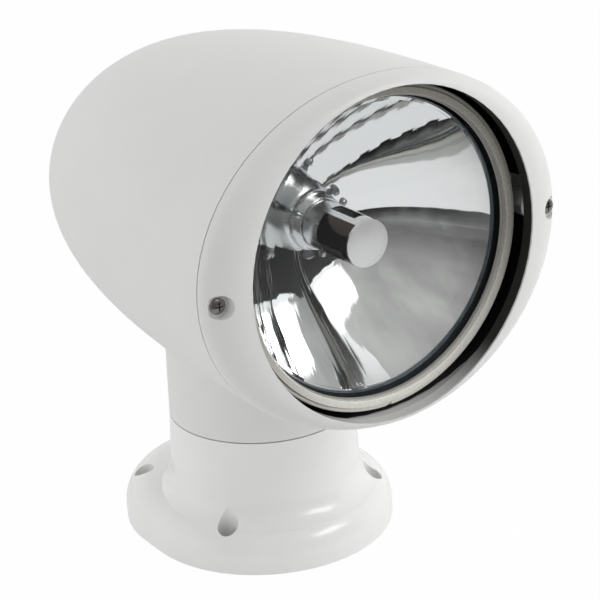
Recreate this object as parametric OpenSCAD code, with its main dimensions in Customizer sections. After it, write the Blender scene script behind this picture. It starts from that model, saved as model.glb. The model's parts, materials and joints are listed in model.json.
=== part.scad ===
// Marine searchlight: a turning head on a fixed deck base, with a lamp that tilts inside the head.
// Millimetres, +Z up. The origin is on the deck under the turning axis, and the lamp faces -Y.

/* [Head] */
// Height of the lamp axis above the deck
head_z = 188; // [185:0.5:192]
// Width of the head beside the round opening
cheek_w = 21.2; // [21:0.2:23]
// Height of the head above the round opening
brow_h = 4.5; // [4.4:0.1:6]
// Rise of the middle of the head towards its tail
head_rise = 2.2; // [0:0.2:4]
// Depth of the seam between housing and bezel in front of the turning axis
seam_y = 115; // [114:0.25:116]
// Length of the housing behind the turning axis
head_back = 109; // [106:0.5:114]
// Fullness of the head along its length, larger is fuller
head_fullness = 2.5; // [2.4:0.1:2.8]
// Bluntness of the tail of the head
tail_round = 3.5; // [3.2:0.1:3.7]
// Wall thickness of housing and bezel
wall = 3.5; // [3.2:0.1:3.8]
// Thickness of the flat gasket in the bezel seam
bezel_gasket_t = 0.8; // [0.6:0.1:1]
// Depth of the bezel in front of its seam
bezel_depth = 13.4; // [13:0.2:14]
// Gap between the retaining ring and the edge of the round opening
opening_gap = 1.5; // [1.3:0.1:2]
// Depth of the lip around the opening
lip_t = 7; // [6.6:0.1:7.4]
// Distance of each bezel screw from the side of the head
bezel_screw_inset = 6.6; // [6.4:0.1:7]
// Radius of the recess around a bezel screw
bezel_recess_r = 5.8; // [5.5:0.1:6]
// Depth of the recess floor behind the front of the bezel
bezel_recess_depth = 7.6; // [7:0.2:8.2]

/* [Neck and base] */
// Height of the turning seam above the deck
seam_z = 67; // [65:0.5:69]
// Gap between base and head at the turning seam
seam_gap = 0.7; // [0.5:0.1:1]
// Gap between the turning motor and the wall of the column
motor_room = 2.5; // [2.25:0.25:3.5]
// Wall thickness of the column
column_wall = 4; // [3.5:0.25:4.5]
// Narrowing of the neck between seam and head
neck_taper = 1; // [0.5:0.25:1.5]
// Radius of the round ends of the foot
foot_r = 69; // [68.5:0.25:70]
// Distance of the front round of the foot behind the turning axis
foot_shift = 1; // [0.5:0.25:2]
// Extra length of the foot behind the column
foot_stretch = 17; // [16:0.25:19]
// Radius of the rounded top edge of the foot
foot_round = 15.5; // [15:0.25:16]
// Height of the upright edge of the foot
foot_edge = 7.5; // [7:0.25:8]
// Steepness where the foot turns into the hollow sweep of the column, in degrees
sweep_angle = 62; // [60:1:66]
// Thickness of the deck gasket
gasket_t = 2; // [1.5:0.25:3]
// Distance of the deck screws from the edge of the foot
deck_hole_inset = 10.7; // [10.5:0.1:11]
// Direction of the deck screws from the middle of each round end, in degrees
deck_hole_angle = 36.28; // [35.5:0.01:37]
// Diameter of a deck screw hole
deck_hole_d = 4.5; // [4.2:0.1:5.5]
// Diameter of the pocket for a deck screw head
deck_pocket_d = 11; // [10:0.25:11.25]
// Height of the pocket floor above the deck
deck_pocket_z = 10; // [9:0.5:11]

/* [Turning drive] */
// Radius of the turning spindle
spindle_r = 14; // [13:0.25:14.5]
// Radius of the wire passage through the spindle
spindle_bore_r = 10; // [8.5:0.25:10.5]
// Thickness of the top plate of the base
top_plate_t = 6; // [5:0.5:7]
// Wall of the plain bush around the spindle
bush_wall = 3; // [2.5:0.25:3.5]
// Thickness of the bush flange
bush_flange_t = 1.5; // [1.25:0.25:2]
// Tooth size of both gear pairs
gear_module = 1; // [0.98:0.01:1.02]
// Teeth on the turning gear
pan_gear_teeth = 48; // [44:4:48]
// Teeth on the turning pinion
pan_pinion_teeth = 16; // [14:2:16]
// Face width of the turning gears
pan_gear_w = 6; // [5:0.25:6.5]
// Thickness of the turntable
turntable_t = 4; // [3.5:0.25:4.5]
// Diameter of the turning motor
pan_motor_d = 23; // [21:0.5:23.5]
// Length of the turning motor
pan_motor_l = 36; // [30:1:38]

/* [Lamp] */
// Distance of the tilt axis in front of the turning axis
tilt_y = 98; // [97.8:0.1:98.4]
// Setback of the retaining ring behind the opening
ring_setback = 11.4; // [11:0.1:11.8]
// Outer radius of the retaining ring
ring_r = 80.9; // [80:0.1:82]
// Width of the front face of the retaining ring
ring_face_w = 5.7; // [5.4:0.1:6]
// Wall of the retaining ring skirt
ring_wall = 3.3; // [3.2:0.1:3.5]
// Length of the retaining ring
ring_l = 14; // [13.8:0.1:14.2]
// Thickness of the glass
glass_t = 4; // [3.5:0.25:4.5]
// Height of the dome of the glass
glass_dome = 5; // [4:0.5:6]
// Focal length of the reflector
reflector_f = 26; // [25.5:0.25:26.5]
// Thickness of the reflector
reflector_t = 1.2; // [1:0.1:1.4]
// Radius of the hole for the bulb
bulb_hole_r = 13; // [12.5:0.25:13.5]
// Radius of the disc in front of the bulb
shield_r = 12.3; // [11.5:0.1:12.6]
// Radius of the bulb glass
bulb_r = 5.5; // [5:0.25:6]
// Radius of the trunnion pins
pin_r = 3.2; // [3:0.1:3.4]
// Radial clearance of the turning and tilting bearings
running_fit = 0.05; // [0.03:0.01:0.08]
// Clearance around pieces that are only assembled
loose_fit = 0.2; // [0.15:0.05:0.3]

/* [Tilt drive] */
// Distance of the toothed edge of the tilt sector inside the retaining ring
sector_inset = 14.9; // [14.9:0.1:15.5]
// Teeth on the tilt pinion
tilt_pinion_teeth = 12; // [12:1:13]
// Thickness of the tilt sector
sector_t = 5; // [4.5:0.25:5.5]
// Direction of the tilt pinion below the horizontal, in degrees
pinion_angle = 52; // [51:0.5:53]
// Diameter of the tilt motor
tilt_motor_d = 22; // [20:0.5:23]
// Length of the tilt motor
tilt_motor_l = 34; // [30:1:36]

/* [Fasteners] */
// Shank radius of the large screws
screw_r = 2; // [1.9:0.05:2.1]
// Shank radius of the small screws
small_screw_r = 1.5; // [1.4:0.05:1.6]

/* [Hidden] */
$fn = 96;

// Small overlap that joins two shapes of one piece
join = 0.5;
// Clearance of a screw shank in its hole
thread_fit = 0.05;
// Room in a blind hole beyond the tip of a screw
tip_room = 3;

// Outlines that the pieces share
pan_pitch_r = gear_module * pan_gear_teeth / 2;
pan_pinion_pitch_r = gear_module * pan_pinion_teeth / 2;
pan_motor_y = pan_pitch_r + pan_pinion_pitch_r;
column_r = pan_motor_y + pan_motor_d / 2 + motor_room + column_wall;
opening_r = ring_r + opening_gap;
head_w = opening_r + cheek_w;
head_h = opening_r + brow_h;
ring_lip_r = ring_r - ring_face_w;
bezel_screw_x = head_w - bezel_screw_inset;
deck_hole_x = (foot_r - deck_hole_inset) * cos(deck_hole_angle);
deck_hole_y = foot_stretch / 2 + (foot_r - deck_hole_inset) * sin(deck_hole_angle);

// Turning drive heights
base_z = gasket_t;
plate_z = seam_z - top_plate_t;
neck_z = seam_z + seam_gap;
gear_lift = 2.5;
pan_gear_z = seam_z + bush_flange_t + gear_lift;
hub_z = seam_z + bush_flange_t + running_fit;
hub_wall = 4;
hub_r = spindle_r + hub_wall;
hub_top = 3;
turntable_z = pan_gear_z + pan_gear_w + hub_top;
ledge_z = turntable_z + turntable_t;
ledge_t = 4;
neck_in_r = column_r - column_wall;
ledge_w = 6;
ledge_r = neck_in_r - ledge_w;
pan_shaft_r = 3;
pan_shaft_z = pan_gear_z + pan_gear_w + join;
pan_motor_screw_x = 7.5;
pan_collar_r = 5.2;
pan_collar_t = 3;
motor_screw_l = 6;
motor_end_inset = 4;
motor_end_t = 2;
terminal_x = 4;
terminal_t = 0.8;
terminal_w = 3;
terminal_l = 4;
bush_r = spindle_r + bush_wall;
bush_rim = 3;
bush_flange_r = bush_r + bush_rim;
washer_t = 1.5;
clip_t = 1.5;
clip_z = plate_z - washer_t - clip_t - running_fit;
spindle_tail = 3;
spindle_end_z = clip_z - spindle_tail;
spindle_rim = 7;
spindle_flange_r = spindle_r + spindle_rim;
spindle_flange_t = 3;
clip_groove = 1.2;
clip_rim = 2.2;
clip_slot_w = 5;
gear_hole_r = 1.4;
washer_rim = 1.5;
turntable_screw_inset = 3;
turntable_screw_r = neck_in_r - turntable_screw_inset;

// Base and foot
foot_z = foot_edge + foot_round;
foot_mid_y = foot_shift + foot_stretch / 2;
foot_in_r = foot_r - column_wall - loose_fit;
column_swell = 1.5;
column_foot_r = column_r + column_swell;
flare_r = (foot_r - foot_round + foot_round * cos(sweep_angle) - column_foot_r) / (1 - cos(sweep_angle));
flare_x = column_foot_r + flare_r;
flare_sink = 0.3;
flare_z = foot_edge + (foot_round + flare_r) * sin(sweep_angle) - flare_sink;
cover_t = 2.5;
cover_screw_inset = 4;
cover_screw_ring = neck_in_r - cover_screw_inset;
cover_post_r = 4.5;
cover_post_z = 30;
cover_angles = [-90, 8, 172];
cover_screw_l = 12;
cover_seat_z = base_z + pan_head_h(small_screw_r);
gland_y = -16;
gland_r = 7;
gland_bore_r = 3.6;
gland_hex_r = 10.5;
gland_hex_t = 4;
gland_thread_r = 6.5;
gland_thread_l = 14;
nut_hex_r = 10.2;
nut_hex_t = 7;
nut_thread_l = 10;
nut_nose_l = 6;
nut_nose_r = 9;
nut_tip_r = 5.5;
seal_inset = 2.2;
seal_r = column_r - seal_inset;
seal_w = 1.6;
seal_depth = 1.6;
seal_relief = 0.1;
foot_boss_wall = 2.5;
foot_boss_r = deck_pocket_d / 2 + foot_boss_wall;

// Head
bezel_back_y = -seam_y - bezel_gasket_t / 2;
housing_front_y = -seam_y + bezel_gasket_t / 2;
front_y = -seam_y - bezel_depth;
bezel_sides = 72;
bezel_steps = 10;
head_sides = 72;
head_rings = 26;
cavity_sides = 48;
cavity_rings = 14;
recess_floor_y = front_y + bezel_recess_depth;
bezel_screw_l = 17;
bezel_gasket_inset = 0.7;
bezel_boss_wall = 1.2;
bezel_boss_r = bezel_recess_r + bezel_boss_wall;
bezel_boss_shift = 4.2;
bezel_boss_x = bezel_screw_x - bezel_boss_shift;
bezel_boss_rise = 3;
bezel_boss_y = recess_floor_y - bezel_boss_rise;
housing_boss_r = 4.6;
housing_boss_shift = 0.8;
housing_boss_x = bezel_screw_x - housing_boss_shift;
neck_reach = 25;
neck_top_z = head_z - head_h + neck_reach;
pad_inset = 12.6;
pad_x = head_w - pad_inset;
pad_sink = 2.6;
pad_out_x = head_w - pad_sink;
pad_gap = 5;
pad_l = 12;
pad_front = tilt_y - pad_gap;
pad_back = pad_front - pad_l;
pad_half = 10;
pad_screw_z = 6;
pad_screw_y = (pad_front + pad_back) / 2;
board_y = 58;
board_w = 72;
board_h = 56;
board_t = 1.6;
board_post_r = 3.5;
board_screw_l = 8;
board_post_sink = 7;
board_post_y = head_back - board_post_sink;
board_margin = 5;
board_hole_x = board_w / 2 - board_margin;
board_hole_z = board_h / 2 - board_margin;
relay_x = [-16, 4];
relay_z = 4;
relay_w = 15;
relay_h = 18;
relay_tall = 13;
socket_x = -14;
socket_z = -24;
socket_w = 36;
socket_h = 9;
socket_tall = 9;
capacitor_x = [-24, -12];
capacitor_z = -4;
capacitor_r = 4;
capacitor_tall = 14;
chip_x = 8;
chip_z = -9;
chip_w = 14;
chip_h = 8;
chip_tall = 3;

// Lamp
ring_y = front_y + ring_setback;
lip_w = 3;
seal_t = 1.2;
seal_show = 0.8;
seal_in_r = ring_lip_r - seal_show;
dome_inset = 1.2;
skirt_in_r = ring_r - ring_wall;
glass_r = skirt_in_r - loose_fit;
glass_front_y = ring_y + lip_w + seal_t;
glass_rim_t = 5;
flange_y = glass_front_y + glass_rim_t;
flange_t = 1.5;
cradle_y = flange_y + flange_t;
cradle_tail = 5;
cradle_back_y = -tilt_y + cradle_tail;
cradle_r = skirt_in_r - thread_fit;
cradle_relief = 0.4;
cradle_in_r = ring_lip_r - cradle_relief;
reflector_rim_inset = 2;
reflector_rim_r = ring_lip_r - reflector_rim_inset;
vertex_y = flange_y + reflector_rim_r * reflector_rim_r / (4 * reflector_f);
holder_collar_l = 3;
holder_y = vertex_y + holder_collar_l;
holder_rim = 4;
holder_r = bulb_hole_r + holder_rim;
shield_setback = 14.2;
shield_y = ring_y + shield_setback;
shield_t = 1;
shield_edge = 0.9;
shield_depth = 5;
shield_arm_w = 7;
rivet_inset = 0.8;
rivet_ring = holder_r - rivet_inset;
leg_angles = [-90, 30, 150];
leg_w = 1.2;
window_w = shield_r - leg_w;
holder_t = 2;
holder_nose_l = 7.5;
holder_front_y = vertex_y - holder_nose_l;
holder_disc_rim = 2;
holder_disc_r = holder_r + holder_disc_rim;
holder_disc_t = 1.5;
bulb_seat_l = 2;
bulb_seat_y = holder_front_y + bulb_seat_l;
bulb_mouth_gap = 1;
bulb_mouth_r = bulb_r + bulb_mouth_gap;
bulb_l = 24;
bulb_tip = 4;
bulb_base_r = 8;
bulb_rim_r = 11;
bulb_rim_t = 1.2;
bulb_plug_r = 5;
bulb_plug_l = 9;
clip_wire_r = 0.8;
clip_ring_r = 9;
clip_arc = 300;
clip_tail_l = 7;
rivet_r = 1.2;
rivet_head_r = 2.2;
rivet_head_t = 1.6;
rivet_dome_r = 2.4;
rivet_margin = 3;
ring_screw_r = 1;
ring_screw_inset = 1.6;
ring_screw_y = ring_y + ring_l - ring_screw_inset;
step_w = 1.8;
step_r = ring_r - step_w;
step_t = 0.8;
ring_edge = 0.5;
notch_w = 3;
notch_l = 2;
lug_x = [-13, 9];
lug_l = 6.5;
lug_in_r = cradle_in_r - lug_l;
lug_t = 4;
sector_foot_t = 3;
sector_screw_x = [-9, -1];
sector_screw_r = (lug_in_r + cradle_r) / 2;
bracket_t = 5;
bracket_x = pad_x - bracket_t;
ear_gap = 0.5;
ear_x = bracket_x - ear_gap;
ear_half = 8;
pin_sink = 1.5;
pin_in_x = cradle_in_r + pin_sink;
pin_out_x = pad_x;
eye_wall = 3;
eye_r = pin_r + eye_wall;
bracket_screw_l = 10;

// Tilt drive
sector_teeth = 2 * round((ring_r - sector_inset) / gear_module);
sector_r = gear_module * sector_teeth / 2;
tilt_pinion_r = gear_module * tilt_pinion_teeth / 2;
tilt_motor_y = -tilt_y + (sector_r + tilt_pinion_r) * cos(pinion_angle);
tilt_motor_z = head_z - (sector_r + tilt_pinion_r) * sin(pinion_angle);
sector_x = 3.5;
sector_reach = 21;
sector_band = 9;
tilt_plate_x = 11;
tilt_plate_t = 2;
tilt_shaft_r = 2.5;
tilt_motor_screw_z = 7;
tilt_foot_y = -31;
tilt_foot_l = 9;
tilt_foot_w = 13;
tilt_foot_t = 2;
tilt_leg_l = 20;
tilt_rim = 12;
tilt_screw_x = [16.1, 22];
tilt_screw_y = tilt_foot_y + tilt_foot_l / 2;

// Size of the head section and its distance from the seam, for an angle from 0 at the seam to 90 at the tail
function tail_size(t) = pow(cos(t), 2 / tail_round);
function tail_run(t) = pow(sin(t), 2 / head_fullness);
// Points of one oval section of the head
function section(w, h, y, rise, sides) =
  [for (j = [0:sides - 1]) [w * cos(360 * j / sides), y, head_z + rise + h * sin(360 * j / sides)]];
// Two triangles between neighbouring points of neighbouring rings
function strip(a, b, sides) = [for (j = [0:sides - 1]) let (k = (j + 1) % sides)
  each [[a + j, a + k, b + j], [a + k, b + k, b + j]]];
// Points of an arc around a centre
function arc(cx, cy, r, from, to, steps) =
  [for (i = [0:steps]) let (a = from + (to - from) * i / steps) [cx + r * cos(a), cy + r * sin(a)]];
// Points of one gear tooth
function tooth(a, pitch, size, half) = [
  [(pitch - 1.2 * size), a - 1.45 * half], [pitch, a - 0.92 * half],
  [(pitch + 0.85 * size), a - 0.42 * half], [(pitch + 0.85 * size), a + 0.42 * half],
  [pitch, a + 0.92 * half], [(pitch - 1.2 * size), a + 1.45 * half]];
function polar(list) = [for (p = list) [p[0] * cos(p[1]), p[0] * sin(p[1])]];

// Round gear outline with a tooth centred on the first angle
module gear_outline(teeth, first) {
  pitch = gear_module * teeth / 2;
  polygon(polar([for (i = [0:teeth - 1])
    each tooth(first + i * 360 / teeth, pitch, gear_module, 90 / teeth)]));
}

// Solid turned about the lamp axis
module turned(points) {
  translate([0, 0, head_z])
    rotate([-90, 0, 0])
      rotate_extrude()
        polygon(points);
}

// Closed egg with an oval section, from a flat front to a rounded tail
module egg(w, h, front, tail, sides, rings) {
  turn = 90 / rings;
  ends = [section(w, h, front, 0, sides)];
  body = [for (i = [1:rings - 1])
    section(w * tail_size(turn * i), h * tail_size(turn * i), (tail + seam_y) * tail_run(turn * i) - seam_y,
      head_rise * tail_run(turn * i), sides)];
  points = concat([for (ring = concat(ends, body)) each ring],
    [[0, front, head_z], [0, tail, head_z + head_rise]]);
  last = (rings - 1) * sides;
  polyhedron(points, concat(
    [for (j = [0:sides - 1]) [rings * sides, (j + 1) % sides, j]],
    [for (i = [0:rings - 2]) each strip(i * sides, (i + 1) * sides, sides)],
    [for (j = [0:sides - 1]) [last + j, last + (j + 1) % sides, rings * sides + 1]]));
}

// Flat oval plate between two distances
module oval_plate(w, h, from, to) {
  translate([0, to, head_z])
    rotate([90, 0, 0])
      linear_extrude(height = to - from)
        polygon([for (j = [0:bezel_sides - 1])
          [w * cos(360 * j / bezel_sides), h * sin(360 * j / bezel_sides)]]);
}

// One ring of the bezel, between the round opening and the oval edge
function bezel_ring(share, round_r, w, h, y) = [for (j = [0:bezel_sides - 1])
  let (c = cos(360 * j / bezel_sides), s = sin(360 * j / bezel_sides))
    [c * (round_r + (w - round_r) * share), y, head_z + s * (round_r + (h - round_r) * share)]];

// Shell of the bezel: out over the rounded front, round the lip and back inside
module bezel_shell() {
  inner_front = front_y + lip_t;
  turn = 90 / bezel_steps;
  outer = [for (i = [0:bezel_steps])
    bezel_ring(cos(turn * i), opening_r, head_w, head_h,
      bezel_back_y + (front_y - bezel_back_y) * sin(turn * i))];
  inner = [for (i = [bezel_steps:-2:0])
    bezel_ring(cos(turn * i), opening_r, head_w - wall, head_h - wall,
      bezel_back_y + (inner_front - bezel_back_y) * sin(turn * i))];
  rings = concat(outer, inner);
  count = len(rings);
  polyhedron([for (ring = rings) each ring],
    [for (i = [0:count - 1]) each strip(((i + 1) % count) * bezel_sides, i * bezel_sides, bezel_sides)]);
}

// Solid with the outline of the foot: two half turned ends and a straight middle
module foot_form(points) {
  flipped = [for (i = [len(points) - 1:-1:0]) [-points[i][0], points[i][1]]];
  translate([0, foot_shift, 0]) {
    rotate([0, 0, 180])
      rotate_extrude(angle = 180)
        polygon(points);
    translate([0, foot_stretch, 0])
      rotate_extrude(angle = 180)
        polygon(points);
    rotate([90, 0, 0])
      translate([0, 0, -foot_stretch])
        linear_extrude(height = foot_stretch)
          polygon(concat(points, flipped));
  }
}

// Round bar along X, from one distance to the other
module bar_x(r, from, to) {
  translate([from, 0, 0])
    rotate([0, 90, 0])
      cylinder(r = r, h = to - from);
}

// Round bar along Y, from one distance to the other
module bar_y(r, from, to) {
  translate([0, from, 0])
    rotate([-90, 0, 0])
      cylinder(r = r, h = to - from);
}

// Radius and height of a pan head, and radius of its dome, for the radius of the shank
function pan_head_r(r) = 1.9 * r;
function pan_head_h(r) = 1.25 * r;
function pan_dome_r(r) = 3.6 * r;

// Pan head screw standing on Z = 0 with its shank below and a cross recess in its head
module screw(r, length) {
  tall = pan_head_h(r);
  slot_l = 2.1 * r;
  slot_w = 0.34 * r;
  slot_floor = 0.4 * tall;
  difference() {
    union() {
      translate([0, 0, -length])
        cylinder(r = r, h = length + join);
      intersection() {
        cylinder(r = pan_head_r(r), h = tall);
        translate([0, 0, tall - pan_dome_r(r)])
          sphere(r = pan_dome_r(r));
      }
    }
    for (turn = [0, 90])
      rotate([0, 0, turn])
        translate([-slot_l / 2, -slot_w / 2, slot_floor])
          cube([slot_l, slot_w, tall]);
  }
}

// Places of the four deck screws
module deck_holes() {
  for (x = [-1, 1])
    for (y = [-1, 1])
      translate([x * deck_hole_x, foot_mid_y + y * deck_hole_y, 0])
        children();
}

// Places around the base for the cover screws
module cover_places() {
  for (a = cover_angles)
    rotate([0, 0, a])
      translate([cover_screw_ring, 0, 0])
        children();
}

module deck_gasket() {
  color("#2b2b2d")
    difference() {
      foot_form([[0, 0], [foot_in_r, 0], [foot_in_r, gasket_t], [0, gasket_t]]);
      translate([0, gland_y, -join])
        cylinder(r = gland_r + 1, h = gasket_t + 2 * join);
      deck_holes()
        translate([0, 0, -join])
          cylinder(d = deck_hole_d + loose_fit, h = gasket_t + 2 * join);
    }
}

// Outline of the foot: an upright edge, a rounded shoulder and a flat top under the column
function foot_profile(inset, from) = concat([[0, from], [foot_r - inset, from]],
  arc(foot_r - foot_round, foot_edge, foot_round - inset, 0, 90, 12),
  [[0, foot_z - inset]]);

// Column of the base with the hollow sweep that runs out on the foot
function column_profile() = concat([[0, base_z], [flare_x - flare_r * cos(sweep_angle), base_z]],
  arc(flare_x, flare_z, flare_r, 180 + sweep_angle, 180, 14),
  [[column_r, seam_z], [0, seam_z]]);

module deck_base() {
  color("#e9e9e7")
    difference() {
      union() {
        difference() {
          union() {
            foot_form(foot_profile(0, 0));
            rotate_extrude()
              polygon(column_profile());
          }
          foot_form(foot_profile(column_wall, -join));
          translate([0, 0, base_z - join])
            cylinder(r = neck_in_r, h = plate_z - base_z + join);
        }
        intersection() {
          deck_holes()
            translate([0, 0, base_z])
              cylinder(r = foot_boss_r, h = foot_z);
          foot_form(foot_profile(join, base_z));
        }
        cover_places()
          translate([0, 0, base_z + cover_t])
            cylinder(r = cover_post_r, h = cover_post_z);
      }
      deck_holes() {
        translate([0, 0, deck_pocket_z])
          cylinder(d = deck_pocket_d, h = seam_z);
        cylinder(d = deck_hole_d, h = seam_z);
      }
      cover_places()
        cylinder(r = small_screw_r + thread_fit, h = cover_seat_z + cover_screw_l + tip_room);
      translate([0, 0, plate_z - join])
        cylinder(r = bush_r, h = top_plate_t + 2 * join);
      translate([0, pan_motor_y, plate_z - join])
        cylinder(r = pan_collar_r + thread_fit, h = top_plate_t + 2 * join);
      for (x = [-1, 1])
        translate([x * pan_motor_screw_x, pan_motor_y, plate_z - join])
          cylinder(r = small_screw_r + thread_fit, h = top_plate_t + 2 * join);
      translate([0, 0, seam_z - seal_depth])
        difference() {
          cylinder(r = seal_r, h = seal_depth + join);
          cylinder(r = seal_r - seal_w, h = seal_depth + join);
        }
    }
}

module base_cover() {
  color("#6b6e70")
    difference() {
      foot_form([[0, base_z], [foot_in_r, base_z], [foot_in_r, base_z + cover_t], [0, base_z + cover_t]]);
      deck_holes()
        cylinder(r = foot_boss_r + loose_fit, h = foot_z);
      cover_places()
        cylinder(r = small_screw_r + loose_fit, h = foot_z);
      cover_places()
        cylinder(r = pan_head_r(small_screw_r) + loose_fit, h = cover_seat_z);
      translate([0, gland_y, 0])
        cylinder(r = gland_r + thread_fit, h = foot_z);
    }
}

module cover_screws() {
  color("#b9bcbe")
    cover_places()
      translate([0, 0, cover_seat_z])
        mirror([0, 0, 1])
          screw(small_screw_r, cover_screw_l);
}

module cable_gland() {
  color("#3a3c3e")
    translate([0, gland_y, base_z])
      difference() {
        union() {
          cylinder(r = gland_r, h = cover_t + join);
          translate([0, 0, cover_t])
            cylinder(r = gland_hex_r, h = gland_hex_t, $fn = 6);
          cylinder(r = gland_thread_r, h = cover_t + gland_thread_l);
        }
        translate([0, 0, -join])
          cylinder(r = gland_bore_r, h = cover_t + gland_thread_l + 2 * join);
      }
}

module gland_nut() {
  color("#2f3133")
    translate([0, gland_y, base_z + cover_t + gland_hex_t])
      difference() {
        union() {
          cylinder(r = nut_hex_r, h = nut_hex_t, $fn = 6);
          translate([0, 0, nut_hex_t])
            cylinder(r1 = nut_nose_r, r2 = nut_tip_r, h = nut_nose_l);
        }
        translate([0, 0, -join])
          cylinder(r = gland_thread_r + thread_fit, h = nut_thread_l + join);
        cylinder(r = gland_bore_r, h = nut_hex_t + nut_nose_l + join);
      }
}

module pan_bush() {
  color("#c8a15a")
    difference() {
      union() {
        translate([0, 0, plate_z])
          cylinder(r = bush_r, h = top_plate_t + join);
        translate([0, 0, seam_z])
          cylinder(r = bush_flange_r, h = bush_flange_t);
      }
      cylinder(r = spindle_r + running_fit, h = seam_z + bush_flange_t + join);
    }
}

module pan_seal() {
  color("#2b2b2d")
    translate([0, 0, seam_z - seal_depth])
      difference() {
        cylinder(r = seal_r - thread_fit, h = seal_depth + seam_gap - seal_relief);
        translate([0, 0, -join])
          cylinder(r = seal_r - seal_w + thread_fit, h = seal_depth + seam_gap + 2 * join);
      }
}

module pan_motor() {
  can_r = pan_motor_d / 2;
  color("#8e9193")
    translate([0, pan_motor_y, 0])
      difference() {
        union() {
          translate([0, 0, plate_z - pan_motor_l])
            cylinder(r = can_r, h = pan_motor_l);
          translate([0, 0, plate_z - pan_motor_l - motor_end_t])
            cylinder(r = can_r - motor_end_inset, h = motor_end_t + join);
          translate([0, 0, plate_z - join])
            cylinder(r = pan_collar_r, h = pan_collar_t + join);
          cylinder_between(pan_shaft_r, plate_z, pan_shaft_z);
          for (x = [-1, 1])
            translate([x * terminal_x - terminal_t / 2, -terminal_w / 2,
              plate_z - pan_motor_l - motor_end_t - terminal_l])
              cube([terminal_t, terminal_w, terminal_l + join]);
        }
        for (x = [-1, 1])
          translate([x * pan_motor_screw_x, 0, plate_z - motor_screw_l - tip_room])
            cylinder(r = small_screw_r + thread_fit, h = motor_screw_l + tip_room + join);
      }
}

// Upright round bar between two heights
module cylinder_between(r, from, to) {
  translate([0, 0, from])
    cylinder(r = r, h = to - from);
}

module pan_motor_screws() {
  color("#b9bcbe")
    for (x = [-1, 1])
      translate([x * pan_motor_screw_x, pan_motor_y, seam_z])
        screw(small_screw_r, top_plate_t + motor_screw_l);
}

module pan_pinion() {
  color("#d9d4c4")
    translate([0, pan_motor_y, pan_gear_z])
      difference() {
        linear_extrude(height = pan_gear_w)
          gear_outline(pan_pinion_teeth, 270 + 180 / pan_pinion_teeth);
        translate([0, 0, -join])
          cylinder(r = pan_shaft_r + running_fit, h = pan_gear_w + 2 * join);
      }
}

module rear_housing() {
  tail = head_back - wall;
  color("#ececea")
    difference() {
      union() {
        difference() {
          union() {
            egg(head_w, head_h, housing_front_y, head_back, head_sides, head_rings);
            translate([0, 0, neck_z])
              cylinder(r1 = column_r, r2 = column_r - neck_taper, h = neck_top_z - neck_z);
          }
          egg(head_w - wall, head_h - wall, housing_front_y - join, tail, cavity_sides, cavity_rings);
          translate([0, 0, neck_z - join])
            cylinder(r = neck_in_r, h = neck_top_z - neck_z + neck_reach);
        }
        translate([0, 0, ledge_z])
          difference() {
            cylinder(r = neck_in_r + join, h = ledge_t);
            translate([0, 0, -join])
              cylinder(r = ledge_r, h = ledge_t + 2 * join);
          }
        for (x = [-1, 1]) {
          translate([x * housing_boss_x, 0, head_z])
            bar_y(housing_boss_r, housing_front_y, -pad_back);
          translate([x > 0 ? pad_x : -pad_out_x, -pad_front, head_z - pad_half])
            cube([pad_out_x - pad_x, pad_front - pad_back, 2 * pad_half]);
          for (z = [-1, 1])
            translate([x * board_hole_x, 0, head_z + z * board_hole_z])
              bar_y(board_post_r, board_y + board_t, board_post_y);
        }
      }
      for (x = [-1, 1]) {
        translate([x * bezel_screw_x, 0, head_z])
          bar_y(screw_r + thread_fit, housing_front_y - join, recess_floor_y + bezel_screw_l + tip_room);
        for (z = [-1, 1])
          translate([0, -pad_screw_y, head_z + z * pad_screw_z])
            bar_x(small_screw_r + thread_fit, x > 0 ? pad_x - join : -bracket_x - bracket_screw_l - tip_room,
              x > 0 ? bracket_x + bracket_screw_l + tip_room : join - pad_x);
      }
      for (x = [-1, 1])
        for (z = [-1, 1])
          translate([x * board_hole_x, 0, head_z + z * board_hole_z])
            bar_y(small_screw_r + thread_fit, board_y, board_y + board_screw_l + tip_room);
      for (a = [45:90:315])
        rotate([0, 0, a])
          translate([turntable_screw_r, 0, ledge_z - join])
            cylinder(r = small_screw_r + thread_fit, h = ledge_t + 2 * join);
    }
}

module front_bezel() {
  color("#ececea")
    difference() {
      union() {
        bezel_shell();
        for (x = [-1, 1])
          translate([x * bezel_boss_x, 0, head_z])
            bar_y(bezel_boss_r, bezel_boss_y, bezel_back_y);
      }
      for (x = [-1, 1])
        translate([x * bezel_screw_x, 0, head_z]) {
          bar_y(bezel_recess_r, front_y - join, recess_floor_y);
          bar_y(screw_r + loose_fit, front_y, bezel_back_y + join);
        }
    }
}

module bezel_gasket() {
  color("#3b3b3c")
    difference() {
      oval_plate(head_w - bezel_gasket_inset, head_h - bezel_gasket_inset, bezel_back_y, housing_front_y);
      oval_plate(head_w - wall, head_h - wall, bezel_back_y - join, housing_front_y + join);
    }
}

module bezel_screws() {
  color("#c4c7c9")
    for (x = [-1, 1])
      translate([x * bezel_screw_x, recess_floor_y, head_z])
        rotate([90, 0, 0])
          screw(screw_r, bezel_screw_l);
}

module turntable() {
  color("#7d8082")
    difference() {
      translate([0, 0, turntable_z])
        cylinder(r = neck_in_r - loose_fit, h = turntable_t);
      cylinder(r = spindle_r + thread_fit, h = 2 * seam_z);
      for (a = [45:90:315])
        rotate([0, 0, a])
          translate([turntable_screw_r, 0, 0])
            cylinder(r = small_screw_r + loose_fit, h = 2 * seam_z);
      for (x = tilt_screw_x)
        translate([x, tilt_screw_y, 0])
          cylinder(r = small_screw_r + thread_fit, h = 2 * seam_z);
    }
}

module turntable_screws() {
  color("#b9bcbe")
    for (a = [45:90:315])
      rotate([0, 0, a])
        translate([turntable_screw_r, 0, turntable_z])
          mirror([0, 0, 1])
            screw(small_screw_r, turntable_t + ledge_t - join);
}

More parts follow.
